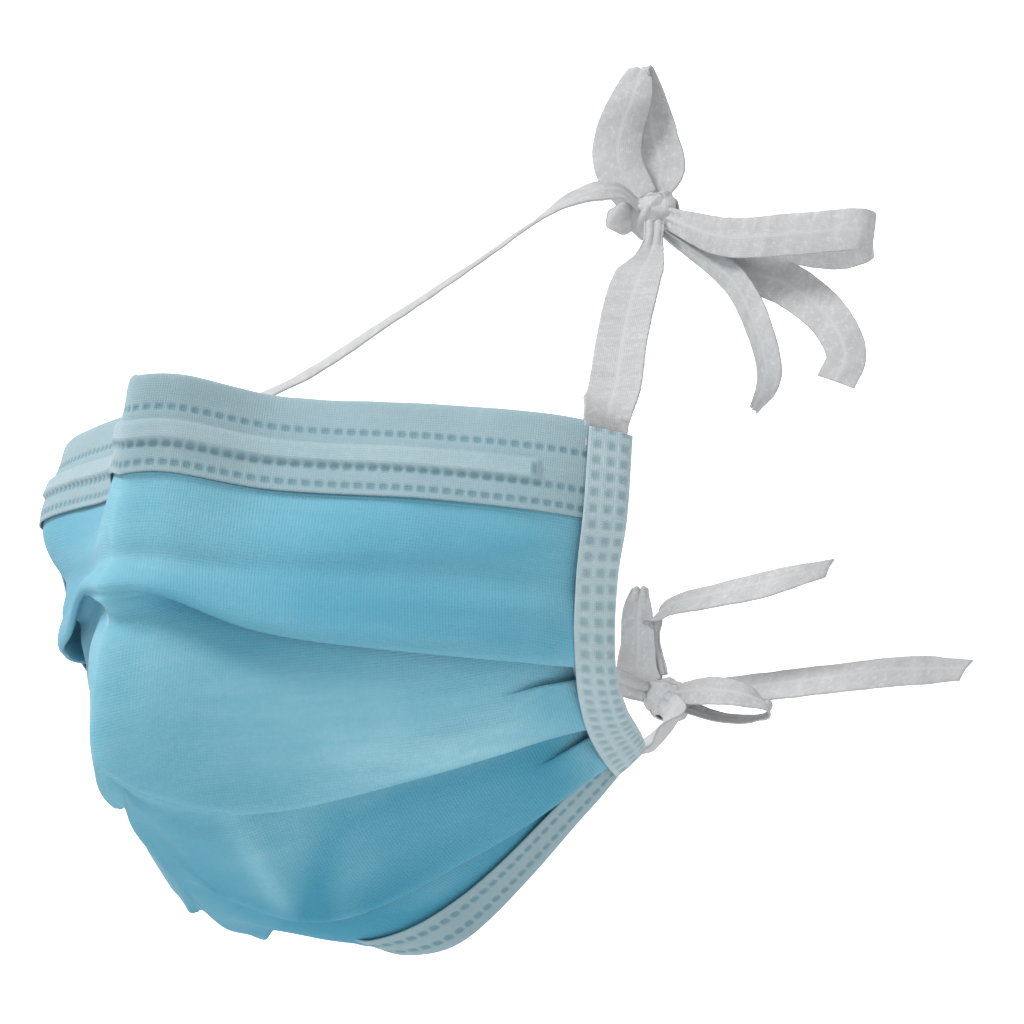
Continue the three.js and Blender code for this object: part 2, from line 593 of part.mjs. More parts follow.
addPiece('front_panel', frontPanel(), clothBlue());
addPiece('top_band', topBand(), bandBlue());
addPiece('bottom_band', bottomBand(), bandBlue());
addPiece('nose_wire', noseWire(), wireWhite());
for (const [name, side] of [['left', 1], ['right', -1]]) {
  const upperRoute = side > 0 ? UPPER_TIE_LEFT : UPPER_TIE_RIGHT;
  const lowerRoute = side > 0 ? LOWER_TIE_LEFT : LOWER_TIE_RIGHT;
  addPiece(`side_band_${name}`, sideBand(side), bandBlue());
  addPiece(`upper_tie_${name}`, tie(side, 0, -1, upperRoute, UPPER_KNOT), ribbonWhite());
  addPiece(`lower_tie_${name}`, tie(side, SIDE_BAND_END, 1, lowerRoute, LOWER_KNOT), ribbonWhite());
}
addPiece('upper_knot', knot(UPPER_KNOT), ribbonWhite());
addPiece('upper_loop_up', bowLoop(UPPER_LOOP_UP, UPPER_KNOT, UPPER_LOOP_UP_REACH), ribbonWhite());
addPiece('upper_loop_side', bowLoop(UPPER_LOOP_SIDE, UPPER_KNOT, UPPER_LOOP_SIDE_REACH), ribbonWhite());
addPiece('upper_tail_inner', bowTail(UPPER_TAIL_INNER, UPPER_KNOT, UPPER_TAIL_INNER_REACH), ribbonWhite());
addPiece('upper_tail_outer', bowTail(UPPER_TAIL_OUTER, UPPER_KNOT, UPPER_TAIL_OUTER_REACH), ribbonWhite());
addPiece('lower_knot', knot(LOWER_KNOT), ribbonWhite());
addPiece('lower_loop_up', bowLoop(LOWER_LOOP_UP, LOWER_KNOT, LOWER_LOOP_UP_REACH), ribbonWhite());
addPiece('lower_loop_side', bowLoop(LOWER_LOOP_SIDE, LOWER_KNOT, LOWER_LOOP_SIDE_REACH), ribbonWhite());
addPiece('lower_tail_upper', bowTail(LOWER_TAIL_UPPER, LOWER_KNOT, LOWER_TAIL_UPPER_REACH), ribbonWhite());
addPiece('lower_tail_lower', bowTail(LOWER_TAIL_LOWER, LOWER_KNOT, LOWER_TAIL_LOWER_REACH), ribbonWhite());

export default mask;
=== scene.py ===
"""Looks of a surgical face mask with ties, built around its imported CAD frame.

Lengths are in millimetres until a mesh is made. +Z is up, +X is the wearer's left, and the
wearer faces -Y. The cloth follows the same rows and routes as the CAD source.
"""
import math

import bpy
import numpy as np
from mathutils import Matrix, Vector, noise


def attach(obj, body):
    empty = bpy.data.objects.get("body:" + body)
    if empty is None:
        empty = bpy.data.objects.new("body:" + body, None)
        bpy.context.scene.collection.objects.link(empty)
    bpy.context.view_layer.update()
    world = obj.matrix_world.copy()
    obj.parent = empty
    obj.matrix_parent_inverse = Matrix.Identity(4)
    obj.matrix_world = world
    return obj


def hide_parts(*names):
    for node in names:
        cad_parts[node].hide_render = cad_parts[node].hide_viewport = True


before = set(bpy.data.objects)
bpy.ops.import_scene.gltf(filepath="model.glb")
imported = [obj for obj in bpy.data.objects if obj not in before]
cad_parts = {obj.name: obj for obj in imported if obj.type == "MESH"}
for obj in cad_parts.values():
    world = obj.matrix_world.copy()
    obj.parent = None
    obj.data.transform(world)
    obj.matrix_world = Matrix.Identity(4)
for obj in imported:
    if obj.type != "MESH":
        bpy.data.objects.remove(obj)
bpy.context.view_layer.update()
MM = 0.001

# Camera and stage
CAMERA_PLACE = (309.4, -338.1, -47.2)
CAMERA_TARGET = (30.14, 75.84, -21.08)
CAMERA_LENS = 91.4
SENSOR = 36.0
CAMERA_REACH = 20.0  # in metres
FLOOR_DROP = 420.0  # from the origin down to the floor
FLOOR_SIZE = 6000.0
BACKDROP_DISTANCE = 1300.0
BACKDROP_BEND = 700.0
BEND_STEPS = 24
BACKDROP_GLOW = 0.9
SKY = 0.52
LIGHT_TARGET = (0, 60, -20)
LIGHTS = {
    "key": dict(place=(-350, -650, 900), size=450, power=12.3),
    "fill": dict(place=(800, -700, 250), size=800, power=2.8),
}

# Body of the mask, as in the CAD source
HALF_WIDTH = 69.0
SIDE_DEPTH = 56.8
FRONT_HEIGHT = 101.0
SKIN = 3.0  # from the measured form in to the cloth's middle
TOP_BAND_HEIGHT = 17.0
TOP_BAND_INNER = 9.0
BOTTOM_BAND_HEIGHT = 9.0
BOTTOM_BAND_INNER = 6.0
SIDE_BAND_WIDTH = 9.0
SIDE_BAND_INNER = 7.0
SIDE_BAND_END = 5.8
PLEAT_DEPTH = 9.5
WIRE_HALF_LENGTH = 74.0
WIRE_WIDTH = 3.0
WIRE_DROP = 9.5
TIE_WIDTH = 10.0
TIE_SEAT = 4.4
TIE_CLEARANCE = 1.1
TIE_GATHERED = 0.5
KNOT_RADII = np.array([6.5, 5.5, 6.0])
UPPER_KNOT = np.array([0.0, 180.0, 53.5])
LOWER_KNOT = np.array([0.0, 183.0, -58.5])
INSIDE_KNOT = 1.2  # how far a ribbon ends under a knot's skin

# Thickness of the shown cloth
PANEL_THICKNESS = 0.2
BAND_THICKNESS = 0.3
RIBBON_THICKNESS = 0.45

# Places of a row's stations from its middle to its side edge
STATIONS = np.array([0, 0.1, 0.3, 0.6, 0.85, 1])

# Rows from the top edge to the bottom edge: the middle's place back and down, the side edge's
# place across, back and down, and the bulge and lift of the four stations between them.
ROWS = [
    dict(back=0, down=0, side=(1, 1, 0.09),
         bulge=(0, -0.064, 0.007, 0.049), lift=(0.013, 0.001, 0.011, 0.01)),
    dict(back=-0.067, down=0.149, side=(1.009, 0.945, 0.25),
         bulge=(0.014, -0.021, 0.042, 0.056), lift=(0.013, -0.006, -0.003, -0.004)),
    dict(back=-0.137, down=0.307, side=(0.97, 0.973, 0.349),
         bulge=(0.035, 0.042, 0.071, 0.064), lift=(0.002, -0.001, -0.004, -0.006)),
    dict(back=-0.15, down=0.361, side=(0.918, 1.05, 0.503),
         bulge=(0.042, 0.071, 0.099, 0.064), lift=(0.01, -0.029, -0.027, -0.015)),
    dict(back=-0.155, down=0.656, side=(0.846, 1.267, 0.595),
         bulge=(0.028, 0.014, 0.042, 0.028), lift=(-0.05, -0.098, -0.064, -0.012)),
    dict(back=0.167, down=0.875, side=(0.79, 1.461, 0.633),
         bulge=(0, 0, 0.014, 0.014), lift=(-0.071, -0.153, -0.113, -0.043)),
    dict(back=0.669, down=1.02, side=(0.745, 1.606, 0.665),
         bulge=(0, 0, -0.014, -0.014), lift=(-0.045, -0.125, -0.155, -0.07)),
]
CREASE_ROW, FIRST_PLEAT_ROW, SECOND_PLEAT_ROW, THIRD_PLEAT_ROW = 2, 3, 4, 5
LAST_ROW = len(ROWS) - 1

# Pleats: how far the edge hangs below its row, the tuck at the side edge as a share of PLEAT_DEPTH,
# the share of the half width within which they lie open, the share of the lip left at the middle,
# and how far the cloth below sinks in under the lip
PLEATS = [
    dict(row=FIRST_PLEAT_ROW, below=0.7, depth=1, opens=0.08, step=0.9, sink=1.6),
    dict(row=SECOND_PLEAT_ROW, below=3.0, depth=1, opens=0.36, step=0.3, sink=1.4),
    dict(row=THIRD_PLEAT_ROW, below=4.5, depth=0.55, opens=0.42, step=0, sink=0.5),
]
PLEAT_LIP = 2.6  # how far the edge of a pleat stands above the cloth
PLEAT_CLOSING = 0.12  # share of the half width over which an open pleat closes
# Section of a pleat, down over its lip and on under it: the distance past the edge, the share of
# the tuck, how far the point moves down where the pleat lies open, and the height as shares of the
# lip and of the sink
PLEAT_SECTION = [
    (-6.0, 1, 0, 0.12, 0), (-3.0, 1, 0, 0.6, 0), (-1.4, 0.5, 0, 1, 0), (-0.5, 0, 0, 1, 0),
    (0.05, 0, 0, 0.8, 0), (-0.4, 0, 0.7, 0.58, 0), (-0.6, 0.5, 1.7, 0.5, 0), (-0.4, 1, 2.2, 0.4, 0),
    (-0.9, 1, 3.2, 0.2, -0.3), (-0.3, 1, 4.0, 0, -0.8), (2.5, 0, 2.5, 0, -1), (9.0, 0, 1, 0, -0.15),
]
# Hollows of the cloth, the first five as in the CAD source; a negative place across is on the
# wearer's right only
HOLLOWS = [
    dict(across=0.5, row=4.5, wide=0.22, tall=0.45, depth=0.06),
    dict(across=0.62, row=2.55, wide=0.3, tall=0.3, depth=0.02),
    dict(across=0, row=5.7, wide=0.3, tall=0.25, depth=-0.03),
    dict(across=0, row=6.15, wide=0.22, tall=0.35, depth=0.06),
    dict(across=0.38, row=6.1, wide=0.14, tall=0.4, depth=-0.045),
    dict(across=0, row=4.75, wide=0.25, tall=0.5, depth=0.042),
    dict(across=0, row=3.9, wide=0.2, tall=0.25, depth=-0.018),
    dict(across=0.4, row=6.2, wide=0.12, tall=0.5, depth=-0.03),
    dict(across=-0.78, row=1.0, wide=0.17, tall=0.7, depth=-0.05),
    dict(across=-1.0, row=1.6, wide=0.12, tall=1.3, depth=0.045),
]

# Soft folds of the free cloth, which the frame leaves out, and painted shade and highlights on it: lines over
# the cloth as places across, rows and strengths, with a width and height in millimetres and a tone painted
# into the colour, where a negative height is a hollow, a positive tone is painted shade and a negative tone
# is a painted highlight
FOLDS_AND_PAINTED_SHADING = [
    dict(line=[(0.05, 1.4, 0.1), (0.25, 1.5, 0.5), (0.5, 1.55, 1), (0.8, 1.6, 1), (0.93, 1.6, 0.5)],
         width=12.0, tone=0.35),
    dict(line=[(0, 1.2, 1), (0, 2.4, 1), (0, 3.4, 1), (0, 4.2, 0.5)], width=3.0, tone=-0.2),
    dict(line=[(0.02, 1.9, 1), (0.2, 1.98, 1), (0.34, 2.06, 0.8), (0.5, 2.12, 0.4), (0.65, 2.21, 0.2)],
         width=4.5, height=-0.35),
    dict(line=[(0.2, 2.55, 0.3), (0.4, 2.6, 1), (0.6, 2.65, 1), (0.88, 2.7, 0.8)],
         width=6.5, height=-0.2, tone=0.35),
    dict(line=[(0.03, 3.02, 0.5), (0.14, 3.09, 1), (0.28, 3.15, 1), (0.42, 3.19, 0.55), (0.62, 3.2, 0.3),
               (0.85, 3.2, 0.2)], width=4.0, height=-0.5, tone=0.4),
    dict(line=[(0.48, 3.78, 0.5), (0.62, 3.88, 1), (0.76, 3.96, 0.6)], width=5.0, height=0.8, tone=-0.42),
    dict(line=[(0.86, 3.6, 1), (0.93, 3.9, 1)], width=3.0, height=-0.3, tone=0.2),
    dict(line=[(0.26, 4.16, 0.4), (0.27, 4.45, 1), (0.26, 4.8, 1), (0.25, 5.05, 0.3)],
         width=2.6, height=0.9, tone=-0.35),
    dict(line=[(0, 4.4, 0.4), (0.03, 4.9, 0.9), (0.06, 5.4, 1), (0.1, 6, 1), (0.12, 6.6, 1)],
         width=18.0, tone=0.5),
    dict(line=[(0.1, 4.3, 1), (0.1, 4.75, 1), (0.05, 5.3, 0.5)], width=2.6, height=0.5),
    dict(line=[(0.42, 4.42, 0.4), (0.55, 4.42, 1), (0.85, 4.5, 1)], width=5.5, height=-0.8, tone=0.4),
    dict(line=[(0.43, 4.45, 0.5), (0.36, 4.75, 1), (0.29, 5.1, 1), (0.22, 5.4, 0.7)],
         width=5.0, height=-0.3, tone=0.42),
    dict(line=[(0.5, 4.8, 1), (0.65, 4.85, 1), (0.8, 4.85, 1)], width=7.5, tone=0.35),
    dict(line=[(0.4, 5.15, 1), (0.65, 5.25, 0.8), (0.85, 5.2, 0.8)], width=5.0, tone=0.4),
    dict(line=[(0.2, 5.7, 1), (0.45, 5.7, 1), (0.7, 5.65, 1)], width=6.0, tone=0.55),
]

# Front panel
PANEL_COLUMNS = 171
PANEL_CROWDING = 1.15
PANEL_SPACING = 0.95
PANEL_EDGE = 2.2  # from the panel's edges to the folds of the bands
PANEL_FLAT_END = 20.0  # distance down of the flat cloth's second control point
CREASE_LEAD = 4.0  # the third one's distance above the crease
CREASE_DEPTH = 1.1
CREASE_WIDTH = 3.0
CREASE_FADE = 4.0
EDGE_CALM = 0.05  # share of the half width at the sides without crease, folds and ripples
EDGE_FADE = 0.12
RIPPLE_FADE = 6.0  # distance below the top band over which folds and ripples come in
PANEL_TONE = 0.37  # density of the smooth cloth, where 1 is the darkest
PANEL_RIPPLES = [dict(height=0.5, size=21.0, seed=3.1), dict(height=0.12, size=8.0, seed=7.7)]
CHIN_MIDDLE = -0.15  # middle of the stretch where the panel hangs over the bottom band
CHIN_SHARE = 0.45  # half of that stretch as a share of the half width
CHIN_FADE = 0.12
CHIN_OVERHANG = 4.2
NOSE_SHARE = 0.35  # of the half width, within which the cloth is shown thinner by the nose
NOSE_FADE = 0.1
NOSE_ROW_FADE = 0.5
NOSE_THINNING = 0.9

# Bands: sections as distance from the cloth's edge and height, rows of pressed weld dots with their
# pitch along the band and half sizes, and tones, where 0 is the lightest cloth
BAND_SPACING = 0.36
BAND_OVERLAP = 1.5  # of a side band over the ends of the top and bottom bands
DOT_DEPTH = 0.22
TOP_SECTION = [
    (TOP_BAND_INNER, -0.7), (4.5, -0.7), (0, -0.75), (-1.2, -0.3), (-1.4, 0.3), (-0.6, 1.1),
    (4.5, 1.1), (7.0, 1.15), (12.5, 1.05), (TOP_BAND_HEIGHT, 0.8),
]
TOP_DOTS = dict(rows=(5.1, 11.9, 15.3), pitch=2.27, halves=(0.78, 0.6))
# The top band's even tone is painted shade over the whole band; its weld dots are darker in their own colour.
TOP_BAND_PAINTED_SHADE, TOP_DOT_TONE = 0.5, 0.7
TOP_RIPPLE = dict(height=0.2, size=9.0, seed=1.3)
BOTTOM_SECTION = [
    (-BOTTOM_BAND_HEIGHT, 0.9), (-5.0, 1.2), (0.4, 1.3), (1.5, 0.5), (1.3, -0.4),
    (0.3, -0.8), (-BOTTOM_BAND_INNER, -0.75),
]
BOTTOM_DOTS = dict(rows=(2.6, 6.4), pitch=2.4, halves=(0.75, 0.55))
# The bottom band's even tone is painted shade over the whole band; its weld dots are darker in their own
# colour.
BOTTOM_BAND_PAINTED_SHADE = 0.55
BOTTOM_TUCK = 3.6  # how far the bottom band turns in under the panel at the chin
SIDE_FOLD_REACH = 0.9
# Section of a side band: distance from the side edge, and height as a share of its top's height
# on the outer leg, in millimetres on the inner leg
SIDE_SECTION = [
    (SIDE_BAND_WIDTH - SIDE_FOLD_REACH, 0.86), (5.0, 1.0), (0.3, 0.95), (-0.7, 0.6),
    (-SIDE_FOLD_REACH, 0.1), (-0.6, -0.7), (0.3, -1.0), (SIDE_BAND_INNER, -1.0),
]
SIDE_STEPS = 250
SIDE_HEIGHTS = ((0, 2.2), (1, 2.1), (2, 2.3), (2.7, 3.6), (5.3, 3.6), (SIDE_BAND_END, 2.8))
HEIGHT_BLUR = 10  # steps to either side over which the heights are averaged
SIDE_DOTS = dict(rows=(0.9, 3.4, 6.2), pitch=2.95, halves=(0.85, 0.85))
SIDE_DOT_TONE = 0.6

# The wire's relief in the top band, the painted highlight along it, and the mark at its end
WIRE_RELIEF = 0.75
WIRE_SIDE_REACH, WIRE_SIDE_SLOPE = 0.7, 0.8
WIRE_END_REACH, WIRE_END_SLOPE = 1.8, 1.6
# share of the top band's painted shade taken away along the wire: a painted highlight on its relief
WIRE_PAINTED_HIGHLIGHT = 0.4
WIRE_MARK_HALF = (0.5, 1.2)
WIRE_MARK_TONE = 0.8

# Ribbons
TIE_HEIGHT = 0.8  # of a tie's end above the cloth's middle
TIE_TUCK = 4.5  # how far a tie reaches in under its side band
TIE_STARTS = (1.8, 2, 2.1)  # widths under, at and past the band's end, as shares of TIE_SEAT
TIE_CUP = 0.06
RIBBON_COLUMNS = 27
RIBBON_SPACING = 0.7
RIBBON_FOLDS = 2.5
RIBBON_FOLD_HEIGHT = 0.5
GATHER_WIDTH = 0.7  # share of the tie's width below which a ribbon starts to gather in folds
GATHER_FADE = 0.4
SEAM_WIDTH = 0.45
SEAM_HEIGHT = 0.1
FRAYED = dict(height=0.12, size=1.7, seed=5.5)
FRAYED_POWER = 8  # a high power keeps the fraying at the ribbon's edges
CRUMPLED = dict(height=0.16, size=5.0, seed=9.4)

# Ribbons that leave a knot: the reach in millimetres, how far the ribbon's middle bows out as a
# share of half its width, and stops as shares of the reach (right, back, up), with the way across
# the ribbon and its width as a share of the tie's width
BOWS = {
    "upper_loop_up": dict(knot=UPPER_KNOT, reach=35.0, loop=True, cup=-0.2, stops=[
        ((-0.2, -0.08, 0.2), (1, 0.5, 0), 0.95), ((-0.23, -0.08, 0.36), (1, 0.55, 0), 1.15),
        ((-0.225, -0.08, 0.56), (1, 0.55, 0), 1.1), ((-0.12, -0.07, 0.82), (1, 0.55, 0), 0.9),
        ((-0.1, 0, 0.985), (1, 0.55, 0), 0.55), ((-0.08, 0.05, 0.82), (1, 0.55, 0), 0.8),
        ((-0.045, 0.06, 0.56), (1, 0.55, 0), 1.12), ((0.02, 0.06, 0.34), (1, 0.55, 0), 1.1),
        ((-0.02, 0.05, 0.2), (1, 0.4, 0), 0.5)]),
    "upper_loop_side": dict(knot=UPPER_KNOT, reach=57.0, loop=True, cup=0.1, stops=[
        ((0.2, -0.1, -0.05), (0.2, 0, 1), 0.5), ((0.4, -0.12, -0.138), (0, 0, 1), 0.9),
        ((0.7, -0.1, -0.15), (0, 0, 1), 0.95), ((0.955, -0.02, -0.145), (0.2, 0, 1), 0.93),
        ((0.94, 0.08, -0.16), (0.3, -0.3, 1), 0.85), ((0.77, 0.14, -0.19), (0.1, -0.6, 1), 0.9),
        ((0.5, 0.13, -0.14), (0, -0.3, 1), 0.8), ((0.22, 0.07, -0.04), (0, 0, 1), 0.45)]),
    "upper_tail_inner": dict(knot=UPPER_KNOT, reach=53.0, loop=False, cup=0.12, stops=[
        ((0.2, -0.06, -0.2), (0.6, -0.1, 0.6), 0.4), ((0.43, -0.06, -0.33), (0.8, -0.3, 0.4), 0.75),
        ((0.548, -0.06, -0.54), (0.8, -0.4, 0.1), 0.95), ((0.585, -0.04, -0.74), (0.9, -0.4, -0.1), 0.9),
        ((0.505, -0.02, -0.885), (0.9, -0.4, -0.2), 0.35)]),
    "upper_tail_outer": dict(knot=UPPER_KNOT, reach=65.0, loop=False, cup=0.1, stops=[
        ((0.17, 0.01, -0.12), (0.4, 0, 1), 0.45), ((0.33, 0.02, -0.21), (0.3, 0, 1), 0.9),
        ((0.52, 0.03, -0.285), (0.5, 0.1, 1), 1), ((0.685, 0.03, -0.42), (0.9, 0.2, 0.6), 0.95),
        ((0.75, 0.02, -0.55), (1, 0.2, 0.1), 0.92), ((0.72, 0, -0.64), (1, 0.2, -0.35), 0.9)]),
    "lower_loop_up": dict(knot=LOWER_KNOT, reach=24.0, loop=True, cup=0.12, stops=[
        ((-0.1, -0.14, 0.1), (0.6, 0.4, 0.6), 0.8), ((-0.18, -0.17, 0.26), (0.8, 0.55, 0.25), 0.95),
        ((-0.18, -0.16, 0.5), (0.8, 0.55, 0.1), 0.82), ((-0.22, -0.1, 0.82), (0.8, 0.55, 0), 0.72),
        ((-0.25, 0, 1.05), (0.8, 0.5, 0), 0.4), ((-0.34, 0.12, 0.82), (0.8, 0.5, 0), 0.45),
        ((-0.33, 0.16, 0.52), (0.8, 0.5, 0), 0.5), ((-0.22, 0.12, 0.28), (1, 0.2, 0), 0.4)]),
    "lower_loop_side": dict(knot=LOWER_KNOT, reach=28.0, loop=True, cup=0.1, stops=[
        ((0.26, -0.12, 0.05), (0.1, 0.5, 1), 0.5), ((0.55, -0.16, 0.06), (0, 0.6, 0.9), 0.75),
        ((0.85, -0.12, 0.02), (-0.2, 0.8, 0.7), 0.72), ((1.0, -0.02, -0.08), (-0.6, 1, 0.2), 0.6),
        ((0.86, 0.06, -0.17), (0, 1, 0.3), 0.6), ((0.56, 0.04, -0.17), (0, 1, 0.3), 0.55),
        ((0.28, -0.02, -0.1), (0, 0.8, 0.6), 0.45)]),
    "lower_tail_upper": dict(knot=LOWER_KNOT, reach=54.0, loop=False, cup=0.1, stops=[
        ((-0.02, -0.02, 0.15), (1, 0.4, 0), 0.45), ((-0.05, -0.02, 0.29), (1, 0.4, 0.2), 0.5),
        ((0.04, -0.03, 0.38), (-0.3, 0.8, 1), 0.55), ((0.27, -0.05, 0.43), (0, 0.8, 0.7), 0.9),
        ((0.55, -0.06, 0.48), (0, 0.8, 0.7), 1), ((0.84, -0.07, 0.54), (0, 0.8, 0.6), 0.7)]),
    "lower_tail_lower": dict(knot=LOWER_KNOT, reach=78.0, loop=False, cup=0.1, stops=[
        ((0.12, 0.07, 0.02), (0, 0.5, 1), 0.5), ((0.26, 0.1, 0.03), (0, 0.7, 0.8), 0.85),
        ((0.5, 0.07, 0.055), (0, 0.8, 0.7), 1), ((0.75, 0.04, 0.08), (0, 0.8, 0.7), 1),
        ((0.975, 0, 0.085), (0, 0.8, 0.6), 0.7)]),
}

# Ties from a corner to a knot. straight is how far a tie goes straight on from its side band. Each
# stop has the share of the way, lift and reach out as shares of the length, the way across on the
# wearer's left, and the width as a share of the tie's width.
UPPER_ENDS = dict(row=0, onwards=-1, knot=UPPER_KNOT)
LOWER_ENDS = dict(row=SIDE_BAND_END, onwards=1, knot=LOWER_KNOT)
TIES = {
    "upper_tie_left": dict(**UPPER_ENDS, side=1, straight=2.5, stops=[
        (0.1, 0.01, 0.003, (0.82, 0.57, 0), 0.98), (0.35, 0, -0.006, (0.83, 0.56, 0), 1.02),
        (0.55, 0, -0.007, (0.84, 0.54, 0), 1.08), (0.68, 0, -0.003, (0.85, 0.52, 0), 1.03),
        (0.8, -0.01, 0.004, (0.88, 0.46, 0), 0.66), (0.9, -0.005, 0.005, (0.88, 0.46, 0), 0.45)]),
    "upper_tie_right": dict(**UPPER_ENDS, side=-1, straight=0.3, stops=[
        (0.1, -0.02, 0, (0.82, 0.57, 0.08), 1), (0.35, -0.022, 0, (0.83, 0.56, 0.12), 1),
        (0.5, 0.006, 0, (0.84, 0.54, 0.07), 1), (0.68, 0.044, 0, (0.85, 0.52, -0.06), 1),
        (0.77, 0.065, 0, (0.85, 0.5, -0.1), 0.95), (0.86, 0.076, 0, (0.75, 0.4, 0.4), 0.85),
        (0.93, 0.062, 0, (0.5, 0.3, 0.8), 0.55)]),
    "lower_tie_left": dict(**LOWER_ENDS, side=1, straight=2.5, stops=[
        (0.12, 0.012, 0.015, (0.5, 0.6, 0.5), 1), (0.45, -0.005, 0.058, (0.5, 0.35, 0.75), 1.05),
        (0.75, 0, 0.045, (0.5, 0.3, 0.8), 0.65)]),
    "lower_tie_right": dict(**LOWER_ENDS, side=-1, straight=2.5, stops=[
        (0.12, 0.01, 0, (0.5, 0.2, -0.7), 0.9), (0.4, 0.04, 0, (0.3, 0.2, -0.9), 0.9),
        (0.75, 0.085, 0, (0.2, 0.2, -1), 0.8)]),
}

# Knots: each is a few gathered turns of ribbon, with a turn's axis, size, half width, number of
# folds and, for some, a shift
KNOT_STEPS = 90
KNOT_COLUMNS = 33
UPPER_TURNS = [
    dict(axis=(1, 0.3, 0.15), size=0.86, half=6.0, folds=3),
    dict(axis=(0.2, 0.3, 1), size=0.94, half=4.2, folds=2),
    dict(axis=(0.9, 0.1, -0.55), size=1.0, half=3.6, folds=2),
    dict(axis=(0.5, 0.1, 0.8), size=0.6, half=3.8, folds=2, shift=(-7.0, -2.5, -0.3)),
]
LOWER_TURNS = [
    dict(axis=(1, 0.2, -0.2), size=0.74, half=5.2, folds=3, shift=(0.8, 0, 0)),
    dict(axis=(0.1, 0.4, 1), size=0.8, half=4.2, folds=2, shift=(2.0, 0, -1.5)),
    dict(axis=(0.8, 0.2, 0.6), size=0.84, half=3.6, folds=2, shift=(2.0, 0, -1.0)),
]
TURN_START = np.array([0.0, 1.0, 0.2])  # a turn starts square to this way, at the back
TURN_OVERLAP = 0.35  # in radians at each end
TURN_FLATTENING = 0.72  # of a turn's radius squared at its edges
TURN_SPIRAL = 0.04  # growth of the radius over half a turn, so that the ends don't meet
TURN_FOLD_HEIGHT = 0.05
TURN_FOLD_SWAY = 0.5
TURN_RIPPLE = dict(height=0.3, size=3.5, seed=2.2)

# Cloths, with display colours from 0 to 255. mark is the colour where the tone times mark_sign is 1; the tone
# gives weld dots, seams and marks, and painted shade and highlights on the panel and the top and bottom
# bands. bond_pitch is the distance between bond points, and speckle is the share of pale flecks.
CLOTHS = {
    "blue_cloth": dict(light=(152, 202, 216), dark=(127, 186, 204), mark=(66, 146, 173), mark_sign=1,
                       bond_pitch=1.1, speckle=0.02, roughness=0.8, sheen=0.08),
    "inner_cloth": dict(light=(226, 232, 234), dark=(212, 219, 222), mark=(150, 190, 205), mark_sign=1,
                        bond_pitch=1.1, speckle=0.1, roughness=0.8, sheen=0.1),
    "band_cloth": dict(light=(178, 198, 204), dark=(160, 183, 190), mark=(112, 145, 156), mark_sign=1,
                       bond_pitch=0.9, speckle=0.06, roughness=0.78, sheen=0.12),
    "tie_cloth": dict(light=(193, 194, 195), dark=(172, 173, 175), mark=(193, 194, 195), mark_sign=-1,
                      bond_pitch=0.8, speckle=0.22, roughness=0.9, sheen=0.06),
}
FLECK_COLOUR = (0.9, 0.93, 0.94, 1)
WIRE_COLOURS = (196, 202, 205), (226, 230, 232)
WIRE_GRAIN = 1200.0
WIRE_ROUGHNESS = dict(To_Min=0.3, To_Max=0.45)
WIRE_METALLIC = 0.8
STAGE_COLOURS = (0.93, 0.93, 0.93, 1), (0.96, 0.96, 0.96, 1)
STAGE_CLOUDS = 2.0
STAGE_ROUGHNESS = 0.9

# Noise in the cloths: scale, detail and roughness, and how the fibres and streaks are stretched
CLOUD_NOISE = (45.0, 4.0, 0.6)
GRAIN_NOISE = (900.0, 5.0, 0.7)
FIBRE_NOISE, FIBRE_STRETCH = (1.0, 4.0, 0.7), (500, 2600, 1)
STREAK_NOISE, STREAK_STRETCH = (1.0, 3.0, 0.6), (45, 260, 1)
CLOUD_SHARE, GRAIN_SHARE, STREAK_SHARE = 0.4, 0.2, 0.4
BLEND_RANGE = dict(From_Min=0.36, From_Max=0.62)
FLECK_RANGE = dict(From_Min=0.52, From_Max=0.68)
FIBRE_RELIEF, GRAIN_RELIEF, BOND_RELIEF = 0.5, 0.5, 0.5
BOND_POWER = 2.0
BUMP = dict(Strength=0.5, Distance=0.0003)
ROUGHNESS_SPREAD = 0.06
SHEEN_ROUGHNESS = 0.5
CLOTH_SPECULAR = 0.3

# Fineness of the tables that the cloth is measured with
TABLE_SIZE = 1201
DENSE = 4001
LENGTH_STEPS = 60  # for each row
LEAST_SAMPLES = 2  # of each stretch of a section


def unit(vectors):
    return vectors / np.maximum(np.linalg.norm(vectors, axis=-1, keepdims=True), 1e-9)


def smooth(value):
    """A soft step from 0 to 1."""
    held = np.clip(value, 0, 1)
    return held * held * (3 - 2 * held)


def centripetal(p0, p1, p2, p3, weight):
    """Points between p1 and p2 on a centripetal curve through the four points."""
    first, middle, last = (
        np.maximum(np.linalg.norm(b - a, axis=-1, keepdims=True) ** 0.5, 1e-4)
        for a, b in ((p0, p1), (p1, p2), (p2, p3))
    )
    leave = middle * ((p1 - p0) / first - (p2 - p0) / (first + middle) + (p2 - p1) / middle)
    arrive = middle * ((p2 - p1) / middle - (p3 - p1) / (middle + last) + (p3 - p2) / last)
    w = weight[..., None]
    bend = 3 * (p2 - p1) - 2 * leave - arrive
    return p1 + w * (leave + w * (bend + w * (2 * (p1 - p2) + leave + arrive)))


def with_ends(knots):
    """The knots, with one more beyond each end."""
    return np.concatenate([2 * knots[:1] - knots[1:2], knots, 2 * knots[-1:] - knots[-2:-1]])


def through(knots, places):
    """Points of a smooth curve through the knots, at places counted in knots."""
    ends = with_ends(np.asarray(knots, float))
    start = np.clip(np.floor(places).astype(int), 0, len(knots) - 2)
    return centripetal(*(ends[start + step] for step in range(4)), places - start)


